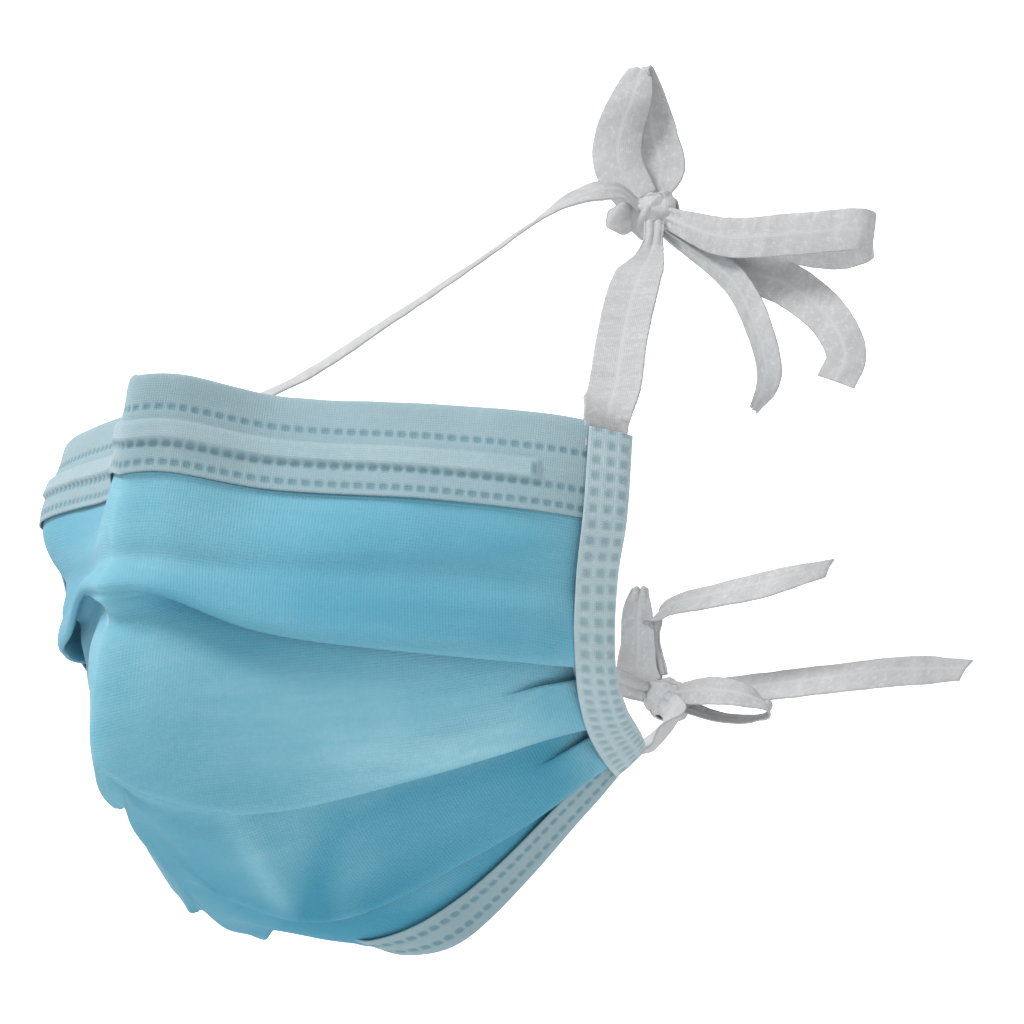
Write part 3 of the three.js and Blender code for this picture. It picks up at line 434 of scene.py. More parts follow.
def row_table(row):
    """Points evenly spaced along one row, from the wearer's right to the left, and its length."""
    middle = np.array([0, row["back"] * SIDE_DEPTH, -row["down"] * FRONT_HEIGHT])
    across, back, down = row["side"]
    side = np.array([across * HALF_WIDTH, back * SIDE_DEPTH, -down * FRONT_HEIGHT])
    heading = math.atan2(side[1] - middle[1], side[0])
    bulge = np.array([0, *row["bulge"], 0])[:, None] * HALF_WIDTH
    lift = np.array([0, *row["lift"], 0])[:, None] * FRONT_HEIGHT
    half = middle + (side - middle) * STATIONS[:, None]
    outwards = np.array([math.sin(heading), -math.cos(heading), 0])
    half = half + bulge * outwards + lift * np.array([0, 0, 1])
    knots = np.concatenate([half[:0:-1] * np.array([-1, 1, 1]), half])
    dense = through(knots, np.linspace(0, len(knots) - 1, DENSE))
    lengths = np.concatenate([[0], np.cumsum(np.linalg.norm(np.diff(dense, axis=0), axis=1))])
    even = np.linspace(0, lengths[-1], TABLE_SIZE)
    return np.stack([np.interp(even, lengths, dense[:, axis]) for axis in range(3)], axis=1), lengths[-1]


ROW_TABLES = [row_table(row) for row in ROWS]
ROW_POINTS = with_ends(np.stack([points for points, length in ROW_TABLES]))
HALF_ARC = ROW_TABLES[0][1] / 2
BAND_LIMIT = 1 - (SIDE_BAND_WIDTH - BAND_OVERLAP) / HALF_ARC


def cloth_base(across, row):
    """Points of the cloth's measured form, for arrays of places across it and down its rows."""
    across, row = np.broadcast_arrays(across, row)
    position = (np.clip(across, -1, 1) + 1) / 2 * (TABLE_SIZE - 1)
    low = np.minimum(np.floor(position).astype(int), TABLE_SIZE - 2)
    blend = (position - low)[..., None]
    start = np.clip(np.floor(row).astype(int), 0, LAST_ROW - 1)
    knots = (
        (1 - blend) * ROW_POINTS[start + step, low] + blend * ROW_POINTS[start + step, low + 1]
        for step in range(4)
    )
    return centripetal(*knots, row - start)


def cloth_frame(across, row):
    """The ways down, sideways and out of the cloth."""
    reach = 0.01
    below, above = np.minimum(row + reach, LAST_ROW), np.maximum(row - reach, 0)
    left, right = np.minimum(across + reach, 1), np.maximum(across - reach, -1)
    down = unit(cloth_base(across, below) - cloth_base(across, above))
    sideways = unit(cloth_base(left, row) - cloth_base(right, row))
    return down, sideways, unit(np.cross(down, sideways))


def hollow_depth(across, row):
    """How far the hollows pull the cloth in."""
    total = 0
    for hollow in HOLLOWS:
        place = across if hollow["across"] < 0 else np.abs(across)
        sideways = (place - hollow["across"]) / hollow["wide"]
        downwards = (row - hollow["row"]) / hollow["tall"]
        total = total + hollow["depth"] * SIDE_DEPTH * np.exp(-(sideways**2) - downwards**2)
    return total


def cloth_at(across, row, height):
    """Points at a height above the cloth's middle layer."""
    out = cloth_frame(across, row)[2]
    lift = height - SKIN - hollow_depth(across, row)
    return cloth_base(across, row) + out * lift[..., None]


def column_lengths(across):
    """Distances down each column at fine steps of the rows."""
    rows = np.linspace(0, LAST_ROW, LAST_ROW * LENGTH_STEPS + 1)
    points = cloth_base(across[None, :], rows[:, None])
    steps = np.linalg.norm(np.diff(points, axis=0), axis=2)
    return rows, np.concatenate([np.zeros((1, len(across))), np.cumsum(steps, axis=0)])


def rows_at(across, distances):
    """Rows reached at distances down each column."""
    rows, lengths = column_lengths(across)
    return np.stack([np.interp(distances[:, i], lengths[:, i], rows) for i in range(len(across))], axis=1)


def distance_to_row(across, row):
    return column_lengths(across)[1][row * LENGTH_STEPS]


def ripples(points, height, size, seed):
    """Smooth ripples of a height at points in millimetres, with features of a size."""
    flat = points.reshape(-1, points.shape[-1]) / size + seed
    values = [noise.noise(Vector(place)) for place in flat]
    return height * np.array(values).reshape(points.shape[:-1])


def normals_of(surface):
    """The ways out of a surface given as a grid of points."""
    return unit(np.cross(np.gradient(surface, axis=0), np.gradient(surface, axis=1)))


def new_object(name, data):
    made = bpy.data.objects.new(name, data)
    bpy.context.scene.collection.objects.link(made)
    return made


def sheet_faces(rows, columns, count):
    """Faces of a closed sheet whose inner points follow the outer ones."""
    index = np.arange(rows * columns).reshape(rows, columns)
    corners = [index[:-1, :-1], index[1:, :-1], index[1:, 1:], index[:-1, 1:]]
    quads = np.stack(corners, axis=-1).reshape(-1, 4)
    rims = []
    for line in (index[:, 0], index[-1], index[::-1, -1], index[0, ::-1]):
        rims.append(np.stack([line[:-1], line[:-1] + count, line[1:] + count, line[1:]], axis=1))
    return np.concatenate([quads, quads[:, ::-1] + count, *rims]), len(quads)


def closed_sheets(parts):
    """Points, faces, which faces are inside, UVs and tones of sheets, each with an inner side."""
    points, faces, inside, uvs, tones = [], [], [], [], []
    base = 0
    for surface, thickness, uv, tone in parts:
        rows, columns = surface.shape[:2]
        count = rows * columns
        inner = surface - normals_of(surface) * thickness
        points += [surface.reshape(-1, 3), inner.reshape(-1, 3)]
        found, outer_count = sheet_faces(rows, columns, count)
        faces.append(found + base)
        inside.append(np.arange(len(found)) >= outer_count)
        uvs += [uv.reshape(-1, 2)] * 2
        tones += [tone.reshape(-1)] * 2
        base += 2 * count
    return [np.concatenate(arrays) for arrays in (points, faces, inside, uvs, tones)]


def cloth_mesh(name, parts, materials):
    """One object of closed sheets. parts lists each outer surface, its thickness, UVs and tone."""
    points, faces, inside, uvs, tones = closed_sheets(parts)
    mesh = bpy.data.meshes.new(name)
    mesh.from_pydata((points * MM).tolist(), [], faces.tolist())
    mesh.polygons.foreach_set("use_smooth", np.ones(len(faces), bool))
    mesh.polygons.foreach_set("material_index", inside.astype(np.int32))
    tone = mesh.attributes.new("tone", "FLOAT", "POINT")
    tone.data.foreach_set("value", tones.astype(np.float32))
    layer = mesh.uv_layers.new(name="cloth")
    corners = uvs[faces.reshape(-1)] * MM
    layer.data.foreach_set("uv", corners.astype(np.float32).reshape(-1))
    for material in materials:
        mesh.materials.append(material)
    mesh.validate()
    return new_object(name, mesh)


def dress(piece, node):
    """The piece stands for the node: it hangs on the root body and the node's CAD part is hidden."""
    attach(piece, "root")
    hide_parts(node)
    return piece


def flat_uv(surface, along):
    """Distances along and across a surface as its flat coordinates."""
    steps = np.linalg.norm(np.diff(surface, axis=0), axis=2)
    down = np.concatenate([np.zeros((1, surface.shape[1])), np.cumsum(steps, axis=0)])
    return np.stack([np.broadcast_to(along, down.shape), down], axis=-1)


def section_samples(controls, spacing):
    """Places, counted in controls, that sample each stretch of a section about evenly."""
    lengths = np.linalg.norm(np.diff(controls, axis=0), axis=-1).mean(axis=1)
    places = [np.array([0.0])]
    for index, length in enumerate(lengths):
        count = max(LEAST_SAMPLES, int(round(length / spacing)))
        places.append(index + np.arange(1, count + 1) / count)
    return np.concatenate(places)


def section_curve(controls, spacing):
    """Smooth curves through control points of shape (points, columns, 2)."""
    places = section_samples(controls, spacing)
    ends = with_ends(controls)
    start = np.clip(np.floor(places).astype(int), 0, len(controls) - 2)
    weight = np.broadcast_to((places - start)[:, None], (len(places), controls.shape[1]))
    return centripetal(*(ends[start + step] for step in range(4)), weight)


def patch(first, second, halves):
    """1 inside a rounded patch of the given half sizes, 0 outside it."""
    return np.exp(-((first / halves[0]) ** 4) - (second / halves[1]) ** 4)


def weld_dots(along, distance, rows, pitch, halves):
    """1 inside the rows of weld dots, 0 between them."""
    local = (along / pitch - np.round(along / pitch)) * pitch
    return sum(patch(local, distance - row, halves) for row in rows)


def crowded(limit, count, crowding):
    """Places from -limit to limit that crowd towards the middle."""
    share = np.linspace(-1, 1, count)
    return np.sign(share) * limit * np.abs(share) ** crowding


def folded_surface(across, section):
    """Points of a sheet from its section as distance down and height, also past the cloth's edge."""
    rows = rows_at(across, section[..., 0])
    whole = np.broadcast_to(across, rows.shape)
    beyond = section[..., 0] - np.clip(section[..., 0], 0, column_lengths(across)[1][-1])
    return cloth_at(whole, rows, section[..., 1]) + cloth_frame(whole, rows)[0] * beyond[..., None]


def near_chin(across):
    """1 where the panel hangs over the bottom band, 0 away from there."""
    return smooth((CHIN_SHARE - np.abs(across - CHIN_MIDDLE)) / CHIN_FADE)


def panel_controls(across):
    """Control points of the panel's section, as distance down and height, in every column."""
    place = np.abs(across)
    ones = np.ones_like(across)
    points = [(PANEL_EDGE * ones, 0 * ones), (PANEL_FLAT_END * ones, 0 * ones)]
    points.append((distance_to_row(across, CREASE_ROW) - CREASE_LEAD, 0 * ones))
    for pleat in PLEATS:
        edge = distance_to_row(across, pleat["row"]) + pleat["below"]
        share = np.clip((place - pleat["opens"]) / (1 - pleat["opens"]), 0, 1)
        tuck = pleat["depth"] * PLEAT_DEPTH * share
        free = smooth(1 - place / (pleat["opens"] + PLEAT_CLOSING))
        lip = PLEAT_LIP * (1 - (1 - pleat["step"]) * free)
        points += [
            (edge - tuck_share * tuck + past + opened * free, lip_share * lip + sink_share * pleat["sink"])
            for past, tuck_share, opened, lip_share, sink_share in PLEAT_SECTION
        ]
    length = column_lengths(across)[1][-1]
    points.append((length - PANEL_EDGE + CHIN_OVERHANG * near_chin(across), 0 * ones))
    return np.stack([np.stack(pair, axis=-1) for pair in points])


def nearness(points, line, width):
    """A line's strength on it, falling to 0 away from it, the same on both sides of the cloth."""
    across, row, strengths = np.array(line, float).T
    knots = cloth_base(across, row)
    mirrored = points * np.where(points[..., :1] < 0, [-1, 1, 1], 1)
    nearest = np.full(points.shape[:-1], np.inf)
    strength = np.zeros(points.shape[:-1])
    for start, end, first, last in zip(knots, knots[1:], strengths, strengths[1:]):
        way = end - start
        share = np.clip((mirrored - start) @ way / (way @ way), 0, 1)
        gap = np.linalg.norm(mirrored - start - share[..., None] * way, axis=-1)
        strength = np.where(gap < nearest, first + (last - first) * share, strength)
        nearest = np.minimum(nearest, gap)
    return strength * np.exp(-((nearest / width) ** 2))


def panel_relief(base):
    """Height of the ripples and soft folds over the panel's points, and its tone: the cloth's even density
    with painted shade and highlights on top.
    """
    height = sum(ripples(base, **ripple) for ripple in PANEL_RIPPLES)
    tone = np.full(base.shape[:-1], PANEL_TONE)
    for fold in FOLDS_AND_PAINTED_SHADING:
        strength = nearness(base, fold["line"], fold["width"])
        height = height + fold.get("height", 0) * strength
        # A fold's tone is painted shade where positive and a painted highlight where negative.
        tone = tone + fold.get("tone", 0) * strength
    return height, tone


def panel_crease(across, distance):
    """Depth of the crease above the first pleat."""
    above_pleats = smooth((distance_to_row(across, FIRST_PLEAT_ROW) - distance) / CREASE_FADE)
    offset = distance - distance_to_row(across, CREASE_ROW)
    return CREASE_DEPTH * above_pleats * np.exp(-((offset / CREASE_WIDTH) ** 2))


def panel_piece(materials):
    limit = 1 - PANEL_EDGE / HALF_ARC
    across = crowded(limit, PANEL_COLUMNS, PANEL_CROWDING)
    section = section_curve(panel_controls(across), PANEL_SPACING)
    distance, height = section[..., 0], section[..., 1]
    inwards = smooth((limit - EDGE_CALM - np.abs(across)) / EDGE_FADE)
    height = height - inwards * panel_crease(across, distance)
    rows = rows_at(across, distance)
    whole = np.broadcast_to(across, rows.shape)
    relief, tone = panel_relief(cloth_base(whole, rows))
    relief = relief * inwards * smooth((distance - TOP_BAND_HEIGHT) / RIPPLE_FADE)
    surface = folded_surface(across, np.stack([distance, height], axis=-1))
    surface = surface + cloth_frame(whole, rows)[2] * relief[..., None]
    by_the_nose = smooth((NOSE_SHARE - np.abs(whole)) / NOSE_FADE)
    by_the_nose = by_the_nose * smooth((SECOND_PLEAT_ROW - rows) / NOSE_ROW_FADE)
    thickness = PANEL_THICKNESS * (1 - NOSE_THINNING * by_the_nose)[..., None]
    uv = flat_uv(surface, across * HALF_ARC)
    piece = cloth_mesh("panel_cloth", [(surface, thickness, uv, tone)], materials)
    return dress(piece, "front_panel")


def band_places():
    """Places across the cloth where the top and bottom bands have their columns."""
    return np.linspace(-BAND_LIMIT, BAND_LIMIT, int(2 * HALF_ARC / BAND_SPACING))


def band_section(points, start):
    """A band's section in every column, from points whose distances count from a start."""
    controls = np.repeat(np.array(points, float)[:, None], len(start), axis=1)
    controls[..., 0] += start
    return section_curve(controls, BAND_SPACING)


def band_cloth_piece(name, surface, uv, tone, materials):
    piece = cloth_mesh(f"{name}_cloth", [(surface, BAND_THICKNESS, uv, tone)], materials)
    return dress(piece, name)


def top_band_piece(materials):
    across = band_places()
    along = across * HALF_ARC
    section = band_section(TOP_SECTION, np.zeros(len(across)))
    distance, height = section[..., 0], section[..., 1]
    outer = np.arange(len(section))[:, None] > np.argmin(distance[:, 0])
    past_wire = WIRE_HALF_LENGTH - np.abs(along)
    past_side = WIRE_WIDTH / 2 - np.abs(distance - WIRE_DROP)
    wire = smooth((past_side + WIRE_SIDE_REACH) / WIRE_SIDE_SLOPE)
    wire = wire * smooth((past_wire + WIRE_END_REACH) / WIRE_END_SLOPE)
    dots = weld_dots(along, distance, **TOP_DOTS) * outer
    height += outer * (WIRE_RELIEF * wire - DOT_DEPTH * dots)
    surface = folded_surface(across, section)
    ripple = ripples(surface, **TOP_RIPPLE) * outer
    surface = surface + normals_of(surface) * ripple[..., None]
    mark = patch(past_wire, distance - WIRE_DROP, WIRE_MARK_HALF) * outer
    # Painted shade over the whole band, lessened along the wire as a painted highlight, plus the darker weld
    # dots and the mark at the wire's end.
    tone = TOP_BAND_PAINTED_SHADE * (1 - WIRE_PAINTED_HIGHLIGHT * wire) + TOP_DOT_TONE * dots + WIRE_MARK_TONE * mark
    return band_cloth_piece("top_band", surface, flat_uv(surface, along), tone, materials)


def bottom_band_piece(materials):
    across = band_places()
    along = across * HALF_ARC
    length = column_lengths(across)[1][-1]
    section = band_section(BOTTOM_SECTION, length)
    distance, height = length - section[..., 0], section[..., 1]
    outer = np.arange(len(section))[:, None] < np.argmin(distance[:, 0])
    dots = weld_dots(along, distance, **BOTTOM_DOTS) * outer
    height -= DOT_DEPTH * dots + BOTTOM_TUCK * near_chin(across)
    surface = folded_surface(across, section)
    uv = flat_uv(surface, along)
    # Painted shade over the whole bottom band, plus its darker weld dots.
    return band_cloth_piece("bottom_band", surface, uv, BOTTOM_BAND_PAINTED_SHADE + dots, materials)


def side_band_section(row):
    """A side band's section at every row, on top of the pleats that it covers."""
    top = np.pad(np.interp(row, *zip(*SIDE_HEIGHTS)), HEIGHT_BLUR, mode="edge")
    window = 2 * HEIGHT_BLUR + 1
    top = np.convolve(top, np.ones(window) / window, mode="valid")
    controls = [[(distance, share * high if share > 0 else share) for high in top]
                for distance, share in SIDE_SECTION]
    return section_curve(np.array(controls), BAND_SPACING)


def side_band_piece(name, side, materials):
    row = np.linspace(0, SIDE_BAND_END, SIDE_STEPS)
    section = side_band_section(row)
    outer = np.arange(len(section))[:, None] < np.argmin(section[:, 0, 0])
    middle = cloth_base(np.full(len(row), side * (1 - TIE_SEAT / HALF_ARC)), row)
    along = np.concatenate([[0], np.cumsum(np.linalg.norm(np.diff(middle, axis=0), axis=1))])
    dots = weld_dots(along, section[..., 0], **SIDE_DOTS) * outer
    section[..., 1] -= DOT_DEPTH * dots
    across = side * (1 - section[..., 0] / HALF_ARC)
    whole = np.broadcast_to(row, across.shape)
    beyond = side * np.maximum(-section[..., 0], 0)
    surface = cloth_at(across, whole, section[..., 1]) + cloth_frame(across, whole)[1] * beyond[..., None]
    order = slice(None) if side > 0 else slice(None, None, -1)
    surface, dots = surface[order].swapaxes(0, 1), dots[order].swapaxes(0, 1)
    uv = flat_uv(surface, section[order, 0, 0])
    return band_cloth_piece(name, surface, uv, SIDE_DOT_TONE * dots, materials)


def ribbon_route(stops):
    """A ribbon's middle line through its stops, with the ways across and out, and its widths."""
    places = np.array([stop[0] for stop in stops])
    length = np.linalg.norm(np.diff(places, axis=0), axis=1).sum()
    count = int(length / RIBBON_SPACING)
    share = np.linspace(0, len(stops) - 1, count)
    middle = through(places, share)
    edges = unit(through(np.array([stop[1] for stop in stops]), share))
    width = through(np.array([[stop[2], 0.0, 0.0] for stop in stops]), share)[:, 0]
    along = unit(np.gradient(middle, axis=0))
    edges = unit(edges - along * (edges * along).sum(axis=1, keepdims=True))
    return middle[:, None], edges[:, None], np.cross(along, edges)[:, None], width[:, None]


def ribbon_part(stops, cup):
    """A ribbon through stops, each with a place, the way across and a width."""
    middle, edges, face, width = ribbon_route(stops)
    t = np.linspace(-1, 1, RIBBON_COLUMNS)
    offset = t * width / 2
    gathered = smooth((GATHER_WIDTH - width / TIE_WIDTH) / GATHER_FADE)
    fold = gathered * RIBBON_FOLD_HEIGHT * np.cos(math.pi * RIBBON_FOLDS * t)
    bowl = cup * width / 2 * (1 - t * t)
    seam = np.exp(-((offset / SEAM_WIDTH) ** 2))
    height = fold + bowl + SEAM_HEIGHT * seam
    surface = middle + edges * offset[..., None] + face * height[..., None]
    frayed = ripples(surface, **FRAYED) * np.abs(t) ** FRAYED_POWER
    crumpled = ripples(surface, **CRUMPLED)
    surface = surface + edges * frayed[..., None] + face * crumpled[..., None]
    uv = flat_uv(surface, t * TIE_WIDTH / 2)
    return surface, RIBBON_THICKNESS, uv, -seam


def stop_at_knot(knot, stop):
    """A stop just under the knot's skin, on the way to the given stop."""
    heading = unit(stop[0] - knot)
    skin = np.linalg.norm(heading * KNOT_RADII)
    return (knot + heading * (skin - INSIDE_KNOT), stop[1], stop[2])


def bow_piece(name, bow, materials):
    knot = bow["knot"]
    stops = [(knot + np.array(place) * bow["reach"], unit(np.array(edge, float)), width * TIE_WIDTH)
             for place, edge, width in bow["stops"]]
    stops[0] = stop_at_knot(knot, stops[0])
    if bow["loop"]:
        stops[-1] = stop_at_knot(knot, stops[-1])
    piece = cloth_mesh(f"{name}_ribbon", [ribbon_part(stops, bow["cup"])], materials)
    return dress(piece, name)


def tie_piece(name, tie, materials):
    side, row = tie["side"], np.array(float(tie["row"]))
    across = np.array(side * (1 - TIE_SEAT / HALF_ARC))
    down, sideways = cloth_frame(across, row)[:2]
    ahead = down * tie["onwards"]
    seat = cloth_at(across, row, np.array(TIE_HEIGHT)) + ahead * TIE_CLEARANCE
    way = tie["knot"] - seat
    length = np.linalg.norm(way)
    flat = sideways * side
    stops = [(seat + ahead * onwards, flat, width * TIE_SEAT)
             for onwards, width in zip((-TIE_TUCK, 0, tie["straight"]), TIE_STARTS)]
    for along, lift, out, edge, width in tie["stops"]:
        crosswise = unit(np.array([side * edge[0], edge[1], edge[2]], float))
        away = np.array([side * out, 0, lift]) * length
        stops.append((seat + way * along + away, crosswise, width * TIE_WIDTH))
    last = (stops[-1][0], stops[-1][1], TIE_WIDTH * TIE_GATHERED)
    stops.append(stop_at_knot(tie["knot"], last))
    piece = cloth_mesh(f"{name}_ribbon", [ribbon_part(stops, TIE_CUP)], materials)
    return dress(piece, name)


def turn_part(knot, turn):
    """One gathered turn of ribbon round a knot, overlapping itself at the back."""
    axis = unit(np.array(turn["axis"], float))
    first = unit(np.cross(axis, TURN_START))
    second = np.cross(axis, first)
    angle = np.linspace(-TURN_OVERLAP, 2 * math.pi + TURN_OVERLAP, KNOT_STEPS)[:, None]
    t = np.linspace(-1, 1, KNOT_COLUMNS)
    ring = np.cos(angle) * first + np.sin(angle) * second
    swell = np.sqrt(1 - TURN_FLATTENING * t * t)
    spiral = 1 + TURN_SPIRAL * (angle / math.pi - 1)
    ridges = 1 + TURN_FOLD_HEIGHT * np.cos(math.pi * turn["folds"] * t + TURN_FOLD_SWAY * np.sin(angle))
    radius = turn["size"] * spiral * swell * ridges
    surface = ring[:, None] * radius[..., None] + axis * (turn["half"] / KNOT_RADII[0] * t)[:, None]
    surface = knot + surface * KNOT_RADII + np.array(turn.get("shift", (0, 0, 0)))
    surface = surface + normals_of(surface) * ripples(surface, **TURN_RIPPLE)[..., None]
    uv = flat_uv(surface, t * TIE_WIDTH / 2)
    return surface, RIBBON_THICKNESS, uv, np.zeros(surface.shape[:2])


def knot_piece(name, knot, turns, materials):
    piece = cloth_mesh(f"{name}_ribbon", [turn_part(knot, turn) for turn in turns], materials)
    return dress(piece, name)


def colour(red, green, blue):
    """A linear colour from display values of 11 to 255."""
    return (*(((value / 255 + 0.055) / 1.055) ** 2.4 for value in (red, green, blue)), 1)


class Shader:
    """A material whose nodes are added one by one."""

    def __init__(self, name):
        self.made = bpy.data.materials.new(name)
        self.made.use_nodes = True
        self.tree = self.made.node_tree
        self.surface = self.tree.nodes["Principled BSDF"]
        self.place = self.node("ShaderNodeTexCoord").outputs["Object"]

    def node(self, kind, settings=None, **inputs):
        node = self.tree.nodes.new(kind)
        for key, value in (settings or {}).items():
            setattr(node, key, value)
        for key, value in inputs.items():
            self.put(node.inputs[key.replace("_", " ")], value)
        return node

    def put(self, socket, value):
        if isinstance(value, bpy.types.NodeSocket):
            self.tree.links.new(value, socket)
        else:
            socket.default_value = value

    def set(self, name, value):
        """Gives the surface a value or the output of a node."""
        self.put(self.surface.inputs[name], value)

    def maths(self, operation, *values):
        node = self.node("ShaderNodeMath", {"operation": operation})
        for socket, value in zip(node.inputs, values):
            self.put(socket, value)
        return node.outputs[0]

    def mixed(self, factor, low, high):
        node = self.node("ShaderNodeMix", {"data_type": "RGBA"})
        for socket, value in ((node.inputs[0], factor), (node.inputs[6], low), (node.inputs[7], high)):
            self.put(socket, value)
        return node.outputs[2]

    def noise(self, place, scale, detail=3.0, rough=0.55):
        kind = "ShaderNodeTexNoise"
        return self.node(kind, None, Vector=place, Scale=scale, Detail=detail, Roughness=rough).outputs["Fac"]

    def stretched(self, place, stretch):
        return self.node("ShaderNodeMapping", None, Vector=place, Scale=stretch).outputs[0]

    def ranged(self, value, **ends):
        return self.node("ShaderNodeMapRange", None, Value=value, **ends).outputs[0]

    def weighed(self, *terms):
        """The sum of values, each with its weight."""
        products = [self.maths("MULTIPLY", value, weight) for value, weight in terms]
        total = products[0]
        for product in products[1:]:
            total = self.maths("ADD", total, product)
        return total


def bond_points(shader, flat, pitch):
    """1 at the bond points of a fine square grid, 0 between them."""
    split = shader.node("ShaderNodeSeparateXYZ", None, Vector=flat)
    turns = 2 * math.pi / (pitch * MM)
    waves = [shader.maths("SINE", shader.maths("MULTIPLY", split.outputs[axis], turns)) for axis in (0, 1)]
    return shader.maths("POWER", shader.maths("ABSOLUTE", shader.maths("MULTIPLY", *waves)), BOND_POWER)


def cloth_colour(shader, clouds, grain, streaks, cloth):
    """Mottled colour with pale flecks, and the mark's colour where the tone asks for it, which paints shade
    and highlights as well as weld dots and seams.
    """
    blend = shader.weighed((clouds, CLOUD_SHARE), (grain, GRAIN_SHARE), (streaks, STREAK_SHARE))
    light, dark, mark = (colour(*cloth[key]) for key in ("light", "dark", "mark"))
    base = shader.mixed(shader.ranged(blend, **BLEND_RANGE), dark, light)
    flecks = shader.ranged(grain, **FLECK_RANGE)
    base = shader.mixed(shader.maths("MULTIPLY", flecks, cloth["speckle"]), base, FLECK_COLOUR)
    tone = shader.node("ShaderNodeAttribute", {"attribute_name": "tone"}).outputs["Fac"]
    signed = shader.maths("MULTIPLY", tone, cloth["mark_sign"])
    strength = shader.maths("MINIMUM", shader.maths("MAXIMUM", signed, 0.0), 1.0)
    return shader.mixed(strength, base, mark)


def nonwoven(name, cloth):
    """Matt nonwoven cloth: mottled, fibrous, with fine bond points and pressed or raised marks."""
    shader = Shader(name)
    flat = shader.node("ShaderNodeUVMap", {"uv_map": "cloth"}).outputs["UV"]
    clouds = shader.noise(shader.place, *CLOUD_NOISE)
    grain = shader.noise(shader.place, *GRAIN_NOISE)
    fibres = shader.noise(shader.stretched(flat, FIBRE_STRETCH), *FIBRE_NOISE)
    streaks = shader.noise(shader.stretched(flat, STREAK_STRETCH), *STREAK_NOISE)
    points = bond_points(shader, flat, cloth["bond_pitch"])
    shader.set("Base Color", cloth_colour(shader, clouds, grain, streaks, cloth))
    height = shader.weighed((fibres, FIBRE_RELIEF), (grain, GRAIN_RELIEF), (points, -BOND_RELIEF))
    shader.set("Normal", shader.node("ShaderNodeBump", None, Height=height, **BUMP).outputs[0])
    low, high = cloth["roughness"] - ROUGHNESS_SPREAD, cloth["roughness"] + ROUGHNESS_SPREAD
    shader.set("Roughness", shader.ranged(grain, To_Min=low, To_Max=high))
    shader.set("Sheen Weight", cloth["sheen"])
    shader.set("Sheen Roughness", SHEEN_ROUGHNESS)
    shader.set("Specular IOR Level", CLOTH_SPECULAR)
    return shader.made


def brushed_wire(name):
    shader = Shader(name)
    streaks = shader.noise(shader.place, WIRE_GRAIN)
    darker, lighter = (colour(*values) for values in WIRE_COLOURS)
    shader.set("Base Color", shader.mixed(streaks, darker, lighter))
    shader.set("Roughness", shader.ranged(streaks, **WIRE_ROUGHNESS))
    shader.set("Metallic", WIRE_METALLIC)
    return shader.made


def stage_white(name, glow):
    shader = Shader(name)
    clouds = shader.noise(shader.place, STAGE_CLOUDS)
    shader.set("Base Color", shader.mixed(clouds, *STAGE_COLOURS))
    shader.set("Roughness", STAGE_ROUGHNESS)
    shader.set("Emission Color", (1, 1, 1, 1))
    shader.set("Emission Strength", glow)
    return shader.made


def aimed(name, data, place, target):
    """An object that stands at a place and looks at a target."""
    made = new_object(name, data)
    made.location = Vector(place) * MM
    heading = (Vector(target) - Vector(place)).normalized()
    made.rotation_euler = heading.to_track_quat("-Z", "Y").to_euler()
    return made


def make_camera():
    data = bpy.data.cameras.new("camera")
    data.lens = CAMERA_LENS
    data.sensor_width = SENSOR
    data.clip_end = CAMERA_REACH
    bpy.context.scene.camera = aimed("camera", data, CAMERA_PLACE, CAMERA_TARGET)


def stage_profile():
    """Reach and rise of a floor that bends up into a backdrop."""
    profile = [(-FLOOR_SIZE / 2, 0.0)]
    for angle in np.linspace(0, math.pi / 2, BEND_STEPS + 1).tolist():
        reach = BACKDROP_DISTANCE + BACKDROP_BEND * math.sin(angle)
        profile.append((reach, BACKDROP_BEND * (1 - math.cos(angle))))
    profile.append((BACKDROP_DISTANCE + BACKDROP_BEND, FLOOR_SIZE / 2))
    return profile


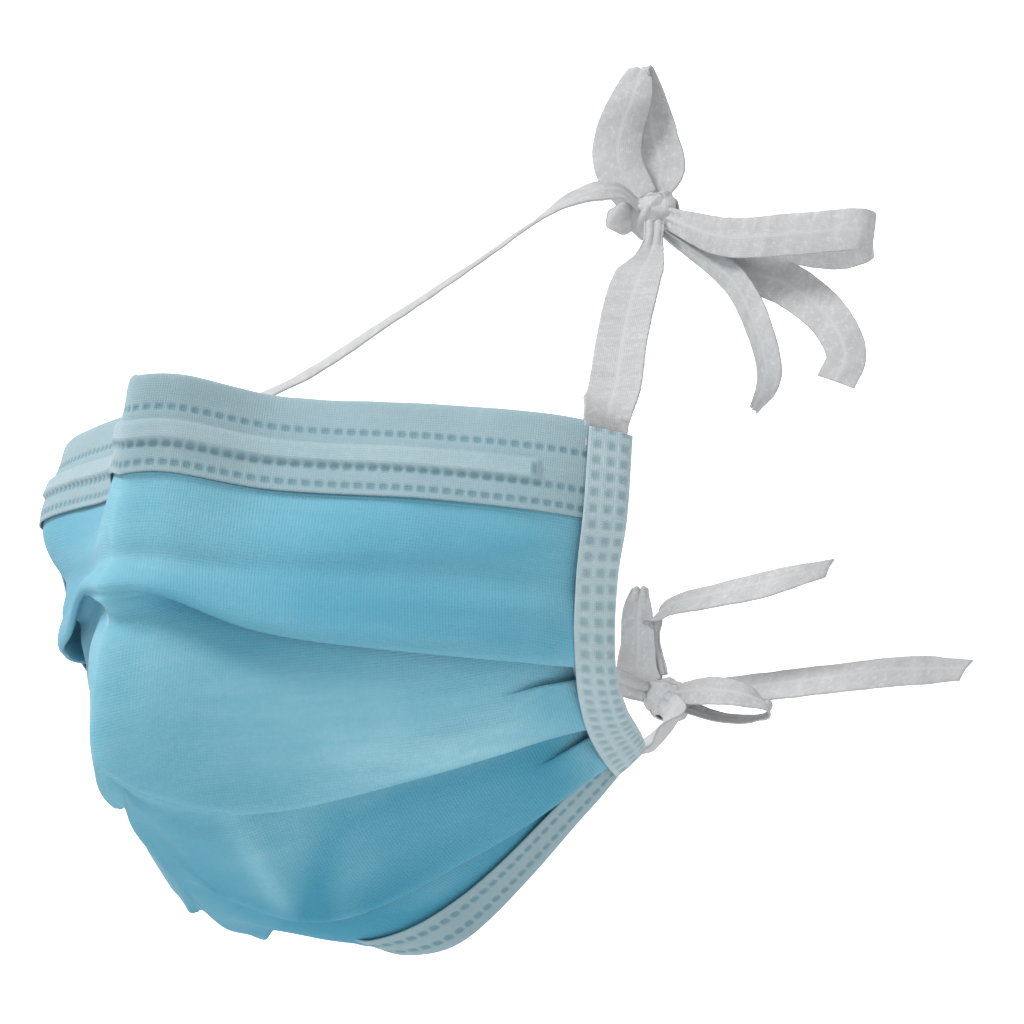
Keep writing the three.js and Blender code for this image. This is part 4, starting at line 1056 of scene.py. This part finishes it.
def make_stage():
    """The floor and backdrop, behind the object as the camera sees it."""
    profile = stage_profile()
    away = Vector((CAMERA_TARGET[0] - CAMERA_PLACE[0], CAMERA_TARGET[1] - CAMERA_PLACE[1], 0)).normalized()
    sideways = Vector((-away.y, away.x, 0)) * FLOOR_SIZE / 2
    points = []
    for reach, rise in profile:
        line = away * reach + Vector((0, 0, rise - FLOOR_DROP))
        points += [(line - sideways) * MM, (line + sideways) * MM]
    faces = [(2 * i, 2 * i + 2, 2 * i + 3, 2 * i + 1) for i in range(len(profile) - 1)]
    mesh = bpy.data.meshes.new("floor")
    mesh.from_pydata(points, [], faces)
    mesh.polygons.foreach_set("use_smooth", [True] * len(faces))
    mesh.materials.append(stage_white("floor_white", 0.0))
    mesh.materials.append(stage_white("backdrop_white", BACKDROP_GLOW))
    mesh.polygons.foreach_set("material_index", [min(i, 1) for i in range(len(faces))])
    new_object("floor", mesh)


def make_lights():
    for name, light in LIGHTS.items():
        data = bpy.data.lights.new(name, "AREA")
        data.shape = "DISK"
        data.size = light["size"] * MM
        data.energy = light["power"]
        aimed(name, data, light["place"], LIGHT_TARGET)
    world = bpy.data.worlds.new("studio")
    world.use_nodes = True
    sky = world.node_tree.nodes["Background"].inputs
    sky["Color"].default_value = (1, 1, 1, 1)
    sky["Strength"].default_value = SKY
    bpy.context.scene.world = world
    bpy.context.scene.view_settings.view_transform = "Standard"


make_camera()
make_stage()
make_lights()

cloths = {name: nonwoven(name, cloth) for name, cloth in CLOTHS.items()}
band_cloths = [cloths["band_cloth"]] * 2
tie_cloths = [cloths["tie_cloth"]] * 2
wire_metal = brushed_wire("wire_metal")

panel = panel_piece([cloths["blue_cloth"], cloths["inner_cloth"]])
bands = [top_band_piece(band_cloths), bottom_band_piece(band_cloths)]
for word, sign in (("left", 1), ("right", -1)):
    bands.append(side_band_piece(f"side_band_{word}", sign, band_cloths))
for name, tie in TIES.items():
    tie_piece(name, tie, tie_cloths)
for name, bow in BOWS.items():
    bow_piece(name, bow, tie_cloths)
knot_piece("upper_knot", UPPER_KNOT, UPPER_TURNS, tie_cloths)
knot_piece("lower_knot", LOWER_KNOT, LOWER_TURNS, tie_cloths)
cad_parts["nose_wire"].material_slots[0].material = wire_metal
